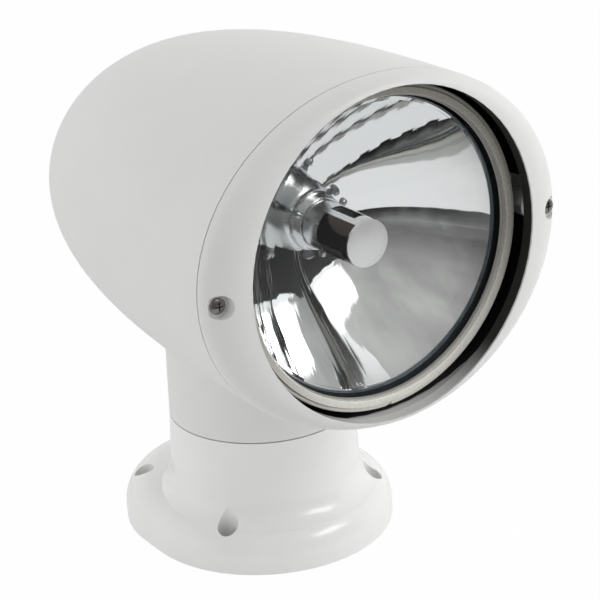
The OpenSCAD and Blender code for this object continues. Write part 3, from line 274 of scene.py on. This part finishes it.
def glass(name, colour, ior):
    """Clear glass that lets lamps through."""
    made, tree = new_finish(name)
    place = add(tree, "TexCoord").outputs["Object"]
    wave = add(tree, "TexNoise", {"Vector": place, "Scale": 1 / (GLASS_WAVE_MM * MM), "Detail": 1.0})
    haze = add(tree, "MapRange", {"Value": wave.outputs["Fac"], "To Min": 0.0, "To Max": GLASS_HAZE})
    shader = add(tree, "BsdfPrincipled", {"Base Color": linear(colour), "Roughness": haze.outputs[0],
                                          "IOR": ior, "Transmission Weight": 1.0})
    clear = add(tree, "BsdfTransparent", {"Color": linear(colour)})
    path = add(tree, "LightPath")
    both = add(tree, "MixShader", {0: path.outputs["Is Shadow Ray"], 1: shader.outputs[0],
                                   2: clear.outputs[0]})
    add(tree, "OutputMaterial", {"Surface": both.outputs[0]})
    return made


# Vapour deposited aluminium on a pressed bowl: a clear mirror whose fine ribs break edges into zigzags.
vapour_mirror = mirror("vapour_aluminium_mirror", "#f8f9f9", 30.0, 0.1, 7.0, 0.03)
# Borosilicate lens glass, nearly without colour: it is seen only at its edges.
lens_glass = glass("borosilicate_glass", "#fdfefe", LENS_IOR)
print("mirror and glass: 2 finishes")

# %% [markdown]
# ## Finishes on the CAD nodes
# Each piece of the frame names the material it is made of. One table turns those names into the finishes
# above. Painting each piece by hand would do as well, but then two screws of one kind could end up unlike.
# Three pieces differ from their kind: the gaskets in view are grey, and the outer screws are weathered.

# %% Give the CAD nodes their finishes
FINISH = {
    "white_head": satin_white, "white_base": gloss_white, "ring_plastic": ring_nylon_painted_shade,
    "black_rubber": rubber, "stainless": stainless, "steel_plate": zinc, "motor_can": motor_can,
    "gear_plastic": acetal, "dark_plastic": black_nylon, "cover_plastic": grey_cover, "bronze": bronze,
    "alloy": alloy, "glass": lens_glass, "mirror": vapour_mirror, "board": solder_mask,
}
for part in frame["record"]["subparts"]:
    piece = nodes[part["node"]]
    piece.data.materials.clear()
    piece.data.materials.append(FINISH[part["material_slot"]])
UNLIKE_THEIR_KIND = {
    "bezel_gasket": grey_silicone, "lamp_seal": grey_silicone, "bezel_screws": dull_stainless,
}
for node, finish in UNLIKE_THEIR_KIND.items():
    nodes[node].data.materials[0] = finish
print("finishes given to", len(nodes), "nodes")

# %% [markdown]
# ## Smooth shells
# The head, the bezel, the base and the lamp's turned pieces leave the mould or the lathe with one smooth
# skin. The frame carries them as flat facets and bands. They could be drawn again from circles and
# extrusions, but the shape is already exact, so each is copied, its loose triangles are merged, and the
# shading is smoothed wherever two faces meet at a small angle. Real edges stay sharp.

# %% Smooth copies
SMOOTH_ANGLE = 24
WELD_MM = 0.005
bodies = frame["record"]["behaviour"]["bodies"]
BODY_OF = {node: body for body, members in bodies.items() for node in members}


def smooth_copy(node, angle):
    """A copy of a CAD node with merged triangles and smooth shading up to an angle."""
    bpy.ops.object.select_all(action="DESELECT")
    piece = bpy.data.objects.new(node + "_skin", nodes[node].data.copy())
    bpy.context.scene.collection.objects.link(piece)
    bpy.context.view_layer.objects.active = piece
    piece.select_set(True)
    bpy.ops.object.mode_set(mode="EDIT")
    bpy.ops.mesh.customdata_custom_splitnormals_clear()
    bpy.ops.mesh.select_all(action="SELECT")
    bpy.ops.mesh.remove_doubles(threshold=WELD_MM * MM)
    bpy.ops.object.mode_set(mode="OBJECT")
    bpy.ops.object.shade_smooth_by_angle(angle=radians(angle))
    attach(piece, BODY_OF[node])
    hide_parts(node)
    return piece


skins = {node: smooth_copy(node, SMOOTH_ANGLE) for node in (
    "rear_housing", "front_bezel", "deck_base", "retaining_ring", "lamp_lens", "reflector", "bulb")}
print("smooth copies:", len(skins))

# %% [markdown]
# ## Painted shade inside, dark rim
# Through the gap around the lamp the inside of the head is painted black, as painted shade for the dark
# inside. The edge of the lamp shows a dark ring, the sealant that bonds the glass to the mirror. The lip of
# the bezel is painted black inside as painted shade, which fades out at the bottom.
# All three are finishes on part of a surface. The bowl and the lip are cut by a plane across the lamp
# axis, which leaves a clean edge. Then faces are picked by their place and get a second material slot.

# %% Second finishes
# Matt black painted shade inside the head, for the dark inside seen through the gap around the lamp.
painted_shade_inside = plastic("matt_black_painted_shade_inside", "#161617", "#0d0d0e", (0.75, 0.9), 0.8, 0.03)
# Silicone sealant between glass and mirror: dark blue grey and smooth.
sealant = plastic("dark_silicone_sealant", "#6d777d", "#4c555b", (0.12, 0.25), 3.0, 0.03)
LAMP_AXIS = Vector(next(joint for joint in frame["joints"] if joint["name"] == "tilt")["pos_m"])
BOSS_HALF = 10.5 * MM
BOSS_FROM = 84 * MM
LIP_EDGE = 1.0 * MM
SEALANT_DEPTH = 1.3 * MM
FACING_IN = 0.35
lip_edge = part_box("front_bezel")[0].y + LIP_EDGE
sealant_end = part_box("reflector")[0].y + SEALANT_DEPTH


def second_finish(piece, finish, wanted):
    """Add a finish to a piece, for the faces whose centre and normal pass a test."""
    piece.data.materials.append(finish)
    picked = [face for face in piece.data.polygons if wanted(face.center, face.normal)]
    for face in picked:
        face.material_index = len(piece.data.materials) - 1
    return len(picked)


def faces_in(point, normal):
    """True where a surface of the head looks towards the lamp axis, apart from the bosses at the sides."""
    inward = Vector((-point.x, 0, LAMP_AXIS.z - point.z)).normalized()
    at_boss = abs(point.z - LAMP_AXIS.z) < BOSS_HALF and abs(point.x) > BOSS_FROM
    return normal.dot(inward) > FACING_IN and not at_boss


def cut_across(piece, depth):
    """Cut all faces of a piece along a plane across the lamp axis, without removing any."""
    bpy.ops.object.select_all(action="DESELECT")
    bpy.context.view_layer.objects.active = piece
    piece.select_set(True)
    bpy.ops.object.mode_set(mode="EDIT")
    bpy.ops.mesh.select_all(action="SELECT")
    bpy.ops.mesh.bisect(plane_co=(0, depth, 0), plane_no=(0, 1, 0))
    bpy.ops.object.mode_set(mode="OBJECT")


bowl = skins["reflector"]
cut_across(bowl, sealant_end)
cut_across(skins["front_bezel"], lip_edge)
# Painted shade: the inside of the head is painted black where it looks towards the lamp.
print("inside faces of the head:", second_finish(skins["rear_housing"], painted_shade_inside, faces_in))
# Painted shade inside the lip of the bezel, fading out at the bottom.
print("sprayed faces of the bezel:", second_finish(
    skins["front_bezel"], lip_painted_shade, lambda point, normal: faces_in(point, normal) and point.y > lip_edge))
print("sealed rim faces:", second_finish(bowl, sealant, lambda point, normal: point.y < sealant_end))

# %% [markdown]
# ## Turned pieces
# The neck and the shield of the bulb are round about the lamp axis. On the real lamp they are spun from
# sheet over a form. A curve could be turned round the axis in one go. Pulling one ring after another out of
# a circle is slower, but each ring then has its own radius and depth, as on the form.

# %% Rings along the lamp axis
RING_POINTS = 96
RING_WELD_MM = 0.01
TURNED_ANGLE = 40
BOWL_FOCUS = 26.0
VERTEX_BEHIND_SEAT = 7.5
RIM_BEFORE_SEAT = 1.5
seat_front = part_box("bulb_shield")[1].y / MM
shield_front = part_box("bulb_shield")[0].y / MM
bowl_vertex = seat_front + VERTEX_BEHIND_SEAT
rim = seat_front - RIM_BEFORE_SEAT


def bowl_depth(radius):
    """Depth of the mirror bowl at a radius."""
    return bowl_vertex - radius * radius / (4 * BOWL_FOCUS)


def start_ring(name, radius, depth, fill):
    """A circle across the lamp axis, selected in edit mode, as the start of a turned piece."""
    bpy.ops.object.select_all(action="DESELECT")
    bpy.ops.mesh.primitive_circle_add(vertices=RING_POINTS, radius=radius * MM, fill_type=fill,
                                      location=(0, depth * MM, LAMP_AXIS.z), rotation=(radians(90), 0, 0))
    made = bpy.context.object
    made.name = name
    bpy.ops.object.transform_apply(location=True, rotation=True, scale=True)
    bpy.ops.object.mode_set(mode="EDIT")
    bpy.ops.mesh.select_mode(type="EDGE")
    bpy.ops.mesh.select_all(action="SELECT")
    return made


def pull_rings(profile):
    """Extrude the selected ring along a profile of radius and depth, one ring after another."""
    for (radius, depth), (next_radius, next_depth) in zip(profile, profile[1:]):
        step = (0, (next_depth - depth) * MM, 0)
        bpy.ops.mesh.extrude_region_move(TRANSFORM_OT_translate={"value": step})
        share = next_radius / radius
        middle = (0, next_depth * MM, LAMP_AXIS.z)
        bpy.ops.transform.resize(value=(share, 1, share), center_override=middle)


def close_and_smooth(angle):
    """Merge where rings meet, turn the faces outwards and smooth the shading up to an angle."""
    bpy.ops.mesh.select_all(action="SELECT")
    bpy.ops.mesh.remove_doubles(threshold=RING_WELD_MM * MM)
    bpy.ops.mesh.normals_make_consistent(inside=False)
    bpy.ops.object.mode_set(mode="OBJECT")
    bpy.ops.object.shade_smooth_by_angle(angle=radians(angle))


def stands_for(piece, node, finish):
    """Give a modelled piece its finish and its body, and hide the CAD node that it stands for."""
    piece.data.materials.append(finish)
    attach(piece, BODY_OF[node])
    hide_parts(node)


print("bowl vertex and rim of the neck:", round(bowl_vertex, 1), round(rim, 1), "mm along the lamp axis")

# %% [markdown]
# ## Neck of the bulb
# In the middle of the bowl stands a short bright neck that carries the bulb and its shield. The bowl
# mirrors it, so that it seems to flare. Its wall spreads into a foot on the bowl, goes through the bowl's
# hole to a flange behind it and turns back inside to make the seat of the bulb. So one closed run of rings
# gives the whole piece. A tube with a flange joined on would leave a seam inside.

# %% Neck
# Radii of the tube from its bore to its foot on the bowl.
BORE_R = 12.6
RIM_R = 13.3
TUBE_R = 13.6
WAIST_R = 13.8
SPREAD_R = 14.6
FOOT_R = 15.4
UNDER_FOOT_R = 13.4
# Radii of what lies behind: the part in the hole, the flange, the socket and the mouth of the bulb.
HOLE_R = 12.7
FLANGE_R = 17.0
SOCKET_R = 8.3
MOUTH_R = 6.5
# Depths: the rim's round edge, the tube, the foot above and below the bowl's face, the flange, the seat.
RIM_EDGE = 0.4
TUBE_LENGTH = 4
FOOT_RISE = 1.2
FOOT_SINK = 0.2
UNDER_FOOT_SINK = 0.5
FLANGE_BEHIND = 3
FLANGE_T = 2
SEAT_T = 2
flange_front = bowl_vertex + FLANGE_BEHIND
flange_back = flange_front + FLANGE_T
seat_back = seat_front + SEAT_T
tube = [(BORE_R, rim), (RIM_R, rim), (TUBE_R, rim + RIM_EDGE), (WAIST_R, rim + TUBE_LENGTH)]
foot = [(SPREAD_R, bowl_depth(SPREAD_R) - FOOT_RISE), (FOOT_R, bowl_depth(FOOT_R) + FOOT_SINK),
        (UNDER_FOOT_R, bowl_depth(UNDER_FOOT_R) + UNDER_FOOT_SINK)]
flange = [(HOLE_R, bowl_vertex), (HOLE_R, flange_front), (FLANGE_R, flange_front), (FLANGE_R, flange_back)]
socket = [(SOCKET_R, flange_back), (SOCKET_R, seat_back), (MOUTH_R, seat_back), (MOUTH_R, seat_front),
          (BORE_R, seat_front), (BORE_R, rim)]
neck = start_ring("bulb_neck", BORE_R, rim, "NOTHING")
pull_rings(tube + foot + flange + socket)
close_and_smooth(TURNED_ANGLE)
stands_for(neck, "bulb_holder", spun_metal)
print("neck:", len(neck.data.polygons), "faces")

# %% [markdown]
# ## Shield cup
# The cup in front of the bulb keeps its direct light out of the beam, so that only what the mirror has
# gathered leaves the lamp. It is a drawn steel cup with three slots at its sides that let the
# light out to the bowl. Cutting the slots with a Boolean would do, but here a disc is pulled back ring by
# ring, the slots are taken out as faces, and Solidify gives the sheet its thickness, edges included. The
# heat of the bulb has tinted its sides, as far back as the slots go, and its front is blasted.

# %% Shield cup
CUP_R = 12.3
CUP_EDGE = 0.9
EDGE_SHARE = 0.3
CUP_SHEET = 0.8
CUP_IN_NECK = 1.3
SLOT_ANGLES = (90, -30, 210)
SLOT_HALF = 15
SLOT_FROM_FRONT = 6
SLOT_TO_RIM = 12.5
SIDE_TILT = 0.3
TOP_STRIP = 0.88
FRONT_TILT = 0.9
slot_start = shield_front + SLOT_FROM_FRONT
slot_end = rim - SLOT_TO_RIM


def in_slot(point):
    """True where a face of the cup's side lies in one of its slots."""
    out = point - LAMP_AXIS
    turn = degrees(atan2(out.z, out.x))
    beside = min(abs((turn - middle + 180) % 360 - 180) for middle in SLOT_ANGLES)
    return beside < SLOT_HALF and slot_start * MM < point.y < slot_end * MM


def is_tinted(point, normal):
    """True on the cup's side as far back as the slots go, apart from a strip along its top."""
    return abs(normal.y) < SIDE_TILT and normal.z < TOP_STRIP and point.y < slot_end * MM


def is_front(point, normal):
    """True on the outside of the cup's flat front."""
    return normal.y < -FRONT_TILT and point.y < slot_start * MM


edge_r = CUP_R - EDGE_SHARE * CUP_EDGE
edge_depth = shield_front + EDGE_SHARE * CUP_EDGE
cup_profile = [(CUP_R - CUP_EDGE, shield_front), (edge_r, edge_depth), (CUP_R, shield_front + CUP_EDGE),
               (CUP_R, slot_start), (CUP_R, slot_end), (CUP_R, rim + CUP_IN_NECK)]
cup = start_ring("shield_cup", *cup_profile[0], "NGON")
pull_rings(cup_profile)
# The disc that was pulled along closes the back, and the cup is open there.
bpy.ops.mesh.delete(type="ONLY_FACE")
bpy.ops.mesh.select_all(action="SELECT")
bpy.ops.mesh.normals_make_consistent(inside=False)
bpy.ops.mesh.select_mode(type="FACE")
bpy.ops.mesh.select_all(action="DESELECT")
bpy.ops.object.mode_set(mode="OBJECT")
for face in cup.data.polygons:
    face.select = in_slot(face.center)
bpy.ops.object.mode_set(mode="EDIT")
bpy.ops.mesh.delete(type="FACE")
bpy.ops.object.mode_set(mode="OBJECT")
sheet = cup.modifiers.new("sheet", "SOLIDIFY")
sheet.thickness = CUP_SHEET * MM
sheet.offset = -1
bpy.ops.object.modifier_apply(modifier=sheet.name)
bpy.ops.object.shade_smooth_by_angle(angle=radians(TURNED_ANGLE))
stands_for(cup, "bulb_shield", spun_metal)
print("tinted faces of the cup:", second_finish(cup, heat_tint, is_tinted))
print("blasted faces of the cup:", second_finish(cup, blasted_metal, is_front))

# %% [markdown]
# ## Pins
# Three pins with domed heads hold the cup in the neck. One is pulled out of a small circle under the lamp
# axis: a shank, a wider head and a dome. Each could be built in its place, but the other two are copies
# of its faces, turned round the lamp axis, so that all three stay alike.

# %% Pins
PIN_COUNT = 3
PIN_POINTS = 24
PIN_FROM = 13.0
PIN_BEHIND_RIM = 0.9
SHANK_R = 1.2
HEAD_R = 2.1
DOME_R = 1.6
TIP_R = 0.8
pin_depth = rim + PIN_BEHIND_RIM
# Each step is a radius and the distance from the pin's start.
pin_steps = [(SHANK_R, 0.0), (SHANK_R, 1.9), (HEAD_R, 2.0), (HEAD_R, 3.4), (DOME_R, 4.3), (TIP_R, 4.6)]
bpy.ops.object.select_all(action="DESELECT")
bpy.ops.mesh.primitive_circle_add(vertices=PIN_POINTS, radius=SHANK_R * MM, fill_type="NGON",
                                  location=(0, pin_depth * MM, LAMP_AXIS.z - PIN_FROM * MM))
pins = bpy.context.object
pins.name = "neck_pins"
bpy.ops.object.transform_apply(location=True, rotation=True, scale=True)
bpy.ops.object.mode_set(mode="EDIT")
bpy.ops.mesh.select_all(action="SELECT")
for (radius, out), (next_radius, next_out) in zip(pin_steps, pin_steps[1:]):
    bpy.ops.mesh.extrude_region_move(TRANSFORM_OT_translate={"value": (0, 0, (out - next_out) * MM)})
    share = next_radius / radius
    middle = (0, pin_depth * MM, LAMP_AXIS.z - (PIN_FROM + next_out) * MM)
    bpy.ops.transform.resize(value=(share, share, 1), center_override=middle)
bpy.ops.mesh.select_all(action="SELECT")
for _ in range(1, PIN_COUNT):
    bpy.ops.mesh.duplicate()
    bpy.ops.transform.rotate(value=radians(360 / PIN_COUNT), orient_axis="Y",
                             center_override=(0, pin_depth * MM, LAMP_AXIS.z))
close_and_smooth(TURNED_ANGLE)
stands_for(pins, "holder_rivets", stainless)
print("pins:", len(pins.data.polygons), "faces")

# %% [markdown]
# ## Studio
# The photograph is a plain packshot: white all round, very even light, a little more of it from the
# right. A pale floor and a bright world give most of it. Each could be lit by lamps alone, but paper that
# glows a little itself stays white to the edge of the picture, as an overexposed sweep does.

# %% Floor and world
FLOOR_SIZE = 30
PAPER_SCALE = 2.0
PAPER_GLOW = 0.97
MIRRORED_PAPER = 0.78
SIDE_LIGHT = 1.45
TOP_LIGHT = 0.42
WHITE = linear("#ffffff")


def seen_rays(tree):
    """One for rays that the camera, a mirror or the lens sends out, and zero for those that carry light."""
    path = add(tree, "LightPath").outputs
    bare = add(tree, "Math", {0: path["Is Camera Ray"], 1: path["Is Glossy Ray"]}, operation="MAXIMUM")
    seen = add(tree, "Math", {0: bare.outputs[0], 1: path["Is Transmission Ray"]}, operation="MAXIMUM")
    return seen.outputs[0]


bpy.ops.object.select_all(action="DESELECT")
bpy.ops.mesh.primitive_plane_add(size=FLOOR_SIZE, location=(0, 0, 0))
floor = bpy.context.object
floor.name = "studio_floor"
# Studio paper: white where it is seen, a little greyer in mirrors, and plain matt paper to the light.
paper, tree = new_finish("white_studio_paper")
grain = add(tree, "TexNoise", {"Vector": add(tree, "TexCoord").outputs["Object"], "Scale": PAPER_SCALE})
tone = add(tree, "MixRGB", {0: grain.outputs["Fac"], 1: linear("#f0f0f0"), 2: linear("#f4f4f4")})
matt = add(tree, "BsdfDiffuse", {"Color": tone.outputs[0]})
level = add(tree, "MapRange", {"Value": add(tree, "LightPath").outputs["Is Camera Ray"],
                               "To Min": MIRRORED_PAPER, "To Max": 1.0})
glow = add(tree, "Emission", {"Color": WHITE, "Strength": level.outputs[0]})
share = add(tree, "Math", {0: seen_rays(tree), 1: PAPER_GLOW}, operation="MULTIPLY")
both = add(tree, "MixShader", {0: share.outputs[0], 1: matt.outputs[0], 2: glow.outputs[0]})
add(tree, "OutputMaterial", {"Surface": both.outputs[0]})
floor.data.materials.append(paper)

# The room's light: more from the sides than from above, and plain white where it is seen.
world = bpy.data.worlds.new("studio_world")
world.use_nodes = True
tree = world.node_tree
tree.nodes.clear()
way = add(tree, "SeparateXYZ", {0: add(tree, "TexCoord").outputs["Generated"]})
fade = add(tree, "MapRange", {"Value": way.outputs["Z"], "To Min": SIDE_LIGHT, "To Max": TOP_LIGHT})
level = add(tree, "Mix", {"Factor": seen_rays(tree), "A": fade.outputs[0], "B": 1.0})
sky = add(tree, "Background", {"Color": WHITE, "Strength": level.outputs[0]})
add(tree, "OutputWorld", {"Surface": sky.outputs[0]})
bpy.context.scene.world = world
print("stage: paper floor and white world")

# %% [markdown]
# ## Lamps
# A softbox to the right and above is the key, and a wider one at the side lifts the right of the head.
# Both are area lamps, which give the soft edge of a shadow that a diffuser gives. The mirror doesn't show
# the lamps themselves, since a card with a soft edge stands for the front of the key.

# %% Lamps
# The middle of the front of the head. Lamps and cards are placed about it, by angles and metres.
LAMP_FRONT = Vector((0, -128, 188)) * MM
KEY_TURN = 35
KEY_RISE = 37
KEY_SIZE = (0.75, 0.42)
KEY_WATTS = 2.6
SIDE_TURN = 62
SIDE_RISE = 5
SIDE_SIZE = (0.8, 0.8)
SIDE_WATTS = 3.0
SOFTBOX_AWAY = 1.2


def seen_from_lamp(turn, rise, away):
    """A place that the lamp sees at an angle to the side, an angle up and a distance."""
    side, up = radians(turn), radians(rise)
    return LAMP_FRONT + away * Vector((sin(side) * cos(up), -cos(side) * cos(up), sin(up)))


def softbox(name, place, size, watts):
    """A studio lamp with a soft front, turned to the searchlight and not shown in mirrors."""
    lamp = bpy.data.lights.new(name, "AREA")
    lamp.shape = "RECTANGLE"
    lamp.size, lamp.size_y = size
    lamp.energy = watts
    made = bpy.data.objects.new(name, lamp)
    bpy.context.scene.collection.objects.link(made)
    made.location = place
    made.rotation_euler = (LAMP_FRONT - place).to_track_quat("-Z", "Y").to_euler()
    made.visible_glossy = False
    made.visible_transmission = False
    return made


key = softbox("key_softbox", seen_from_lamp(KEY_TURN, KEY_RISE, SOFTBOX_AWAY), KEY_SIZE, KEY_WATTS)
softbox("side_softbox", seen_from_lamp(SIDE_TURN, SIDE_RISE, SOFTBOX_AWAY), SIDE_SIZE, SIDE_WATTS)
print("lamps: key softbox, side softbox")

# %% [markdown]
# ## Studio cards
# A mirror shows the whole room. In the photograph the bowl mirrors a white table, a dark room behind the
# camera, a grey ceiling, a dark screen at the right and the front of the key softbox. Five plain cards
# stand for these, seen only by mirrored rays. A room could be built instead, but flat cards are easier to
# move until the reflections fit. A sixth, the flag, is not mirrored and shades the front of the head.

# %% Reflection cards
CARD_CORNERS = ((-1, -1), (1, -1), (1, 1), (-1, 1))
CLOTH_SCALE = 2.5
CLOTH_RANGE = (0.6, 1.4)


def card(name, corners, low, high, soft=0.0):
    """A flat four-cornered card whose glow goes from a low to a high level, from its foot to its top.

    A soft card fades towards its edges over this share of its width."""
    bpy.ops.object.select_all(action="DESELECT")
    bpy.ops.mesh.primitive_plane_add(size=2)
    made = bpy.context.object
    made.name = name
    for vertex in made.data.vertices:
        spot = (round(vertex.co.x), round(vertex.co.y))
        vertex.co = corners[CARD_CORNERS.index(spot)]
    paint, tree = new_finish(name + "_paint")
    place = add(tree, "TexCoord")
    cloth = add(tree, "TexNoise", {"Vector": place.outputs["Object"], "Scale": CLOTH_SCALE})
    up = add(tree, "SeparateXYZ", {0: place.outputs["UV"]})
    level = add(tree, "MapRange", {"Value": up.outputs["Y"], "To Min": low, "To Max": high})
    tone = add(tree, "MapRange", {"Value": cloth.outputs["Fac"], "To Min": CLOTH_RANGE[0],
                                  "To Max": CLOTH_RANGE[1]})
    glow = add(tree, "Math", {0: level.outputs[0], 1: tone.outputs[0]}, operation="MULTIPLY")
    light = add(tree, "Emission", {"Color": linear("#f8f7f5"), "Strength": glow.outputs[0]})
    if soft:
        across = add(tree, "Math", {0: up.outputs["X"], 1: 0.5}, operation="PINGPONG")
        along = add(tree, "Math", {0: up.outputs["Y"], 1: 0.5}, operation="PINGPONG")
        edge = add(tree, "Math", {0: across.outputs[0], 1: along.outputs[0]}, operation="MINIMUM")
        fade = add(tree, "MapRange", {"Value": edge.outputs[0], "From Max": soft},
                   interpolation_type="SMOOTHSTEP")
        clear = add(tree, "BsdfTransparent")
        light = add(tree, "MixShader", {0: fade.outputs[0], 1: clear.outputs[0], 2: light.outputs[0]})
    add(tree, "OutputMaterial", {"Surface": light.outputs[0]})
    made.data.materials.append(paint)
    made.visible_camera = False
    made.visible_diffuse = False
    made.visible_shadow = False
    made.visible_volume_scatter = False
    return made


# The room behind the camera: metres away from the lamp and to each side, with the table ending first.
CAMERA_SIDE = radians(-34)
TABLE_END = 0.42
ROOM_END = 1.1
ROOM_HALF = 1.3
FLOOR_RIGHT = (0.34, 0.89)
WALL_TOP = 0.85
CEILING_TOP = 1.36
ABOVE_TABLE = 0.001
away_way = Vector((sin(CAMERA_SIDE), -cos(CAMERA_SIDE), 0))
side_way = Vector((cos(CAMERA_SIDE), sin(CAMERA_SIDE), 0))


def in_room(away, side, up=0.0):
    """A place in the room, by its distance from the lamp's foot, to the side and up."""
    foot = Vector((LAMP_FRONT.x, LAMP_FRONT.y, ABOVE_TABLE + up))
    return foot + away_way * away + side_way * side


wall_top = (in_room(ROOM_END, -ROOM_HALF, WALL_TOP), in_room(ROOM_END, ROOM_HALF, WALL_TOP))
card("dark_room_floor", (in_room(TABLE_END, -ROOM_HALF), in_room(TABLE_END, FLOOR_RIGHT[0]),
                         in_room(ROOM_END, FLOOR_RIGHT[1]), in_room(ROOM_END, -ROOM_HALF)),
     low=0.0, high=0.18)
card("dark_room_wall", (in_room(ROOM_END, -ROOM_HALF), in_room(ROOM_END, ROOM_HALF),
                        wall_top[1], wall_top[0]), low=0.1, high=0.4)
card("grey_ceiling", (wall_top[0], wall_top[1], in_room(0, ROOM_HALF, CEILING_TOP),
                      in_room(0, -ROOM_HALF, CEILING_TOP)), low=0.4, high=0.6)

# A dark screen stands on the table at the right, from one angle as the lamp sees it to another.
SCREEN_TURNS = (8, 65)
SCREEN_AWAY = 1.0
SCREEN_HEIGHT = Vector((0, 0, 0.55))
screen_ends = [seen_from_lamp(turn, 0, SCREEN_AWAY) for turn in SCREEN_TURNS]
screen_left, screen_right = [Vector((end.x, end.y, 0)) for end in screen_ends]
card("dark_screen", (screen_left, screen_right, screen_right + SCREEN_HEIGHT, screen_left + SCREEN_HEIGHT),
     low=0.0, high=0.04)

# The glowing front of the key softbox, larger than the lamp by its soft edge.
FRONT_HALF = (0.45, 0.26)
FRONT_GLOW = 6.0
FRONT_SOFT = 0.3
key_turn = key.matrix_basis.to_3x3()
side = key_turn @ Vector((FRONT_HALF[0], 0, 0))
rise = key_turn @ Vector((0, FRONT_HALF[1], 0))
front = [key.location + side * x + rise * y for x, y in CARD_CORNERS]
card("softbox_front", front, low=FRONT_GLOW, high=FRONT_GLOW, soft=FRONT_SOFT)

# The flag keeps some of the room's light off the front of the head.
FLAG_CORNERS = ((-42, -12), (12, -12), (12, 45), (-42, 45))
FLAG_AWAY = 0.8
FLAG_GLOW = 0.2
flag_places = [seen_from_lamp(turn, up, FLAG_AWAY) for turn, up in FLAG_CORNERS]
flag = card("front_flag", flag_places, low=FLAG_GLOW, high=FLAG_GLOW)
flag.visible_glossy = False
flag.visible_transmission = False
flag.visible_diffuse = True
print("cards: dark floor, dark wall, grey ceiling, dark screen, softbox front, flag")

# %% [markdown]
# ## Camera
# A packshot is taken from some distance with a long lens, so that near and far edges keep their
# proportion. Place, angles and lens follow from the ellipses that the seam, the ring and the opening draw
# in the photograph. Setting it by eye would leave the outline off by several pixels.

# %% Camera
CAMERA_PLACE = Vector((-522.64, -826.43, 523.53)) * MM
CAMERA_PITCH = 67.83
CAMERA_ROLL = 2.91
CAMERA_HEADING = -34.88
LENS_MM = 119.6
SENSOR_MM = 36
FAR_CLIP = 100
camera = bpy.data.objects.new("camera", bpy.data.cameras.new("camera"))
bpy.context.scene.collection.objects.link(camera)
camera.location = CAMERA_PLACE
camera.rotation_euler = (radians(CAMERA_PITCH), radians(CAMERA_ROLL), radians(CAMERA_HEADING))
camera.data.lens = LENS_MM
camera.data.sensor_width = SENSOR_MM
camera.data.sensor_fit = "HORIZONTAL"
camera.data.clip_end = FAR_CLIP
bpy.context.scene.camera = camera
bpy.context.scene.view_settings.view_transform = "Standard"
print("camera at", [round(c, 3) for c in camera.location])

# %% [markdown]
# ## End
# The scene ends with the camera.

# %% End
print("scene built")
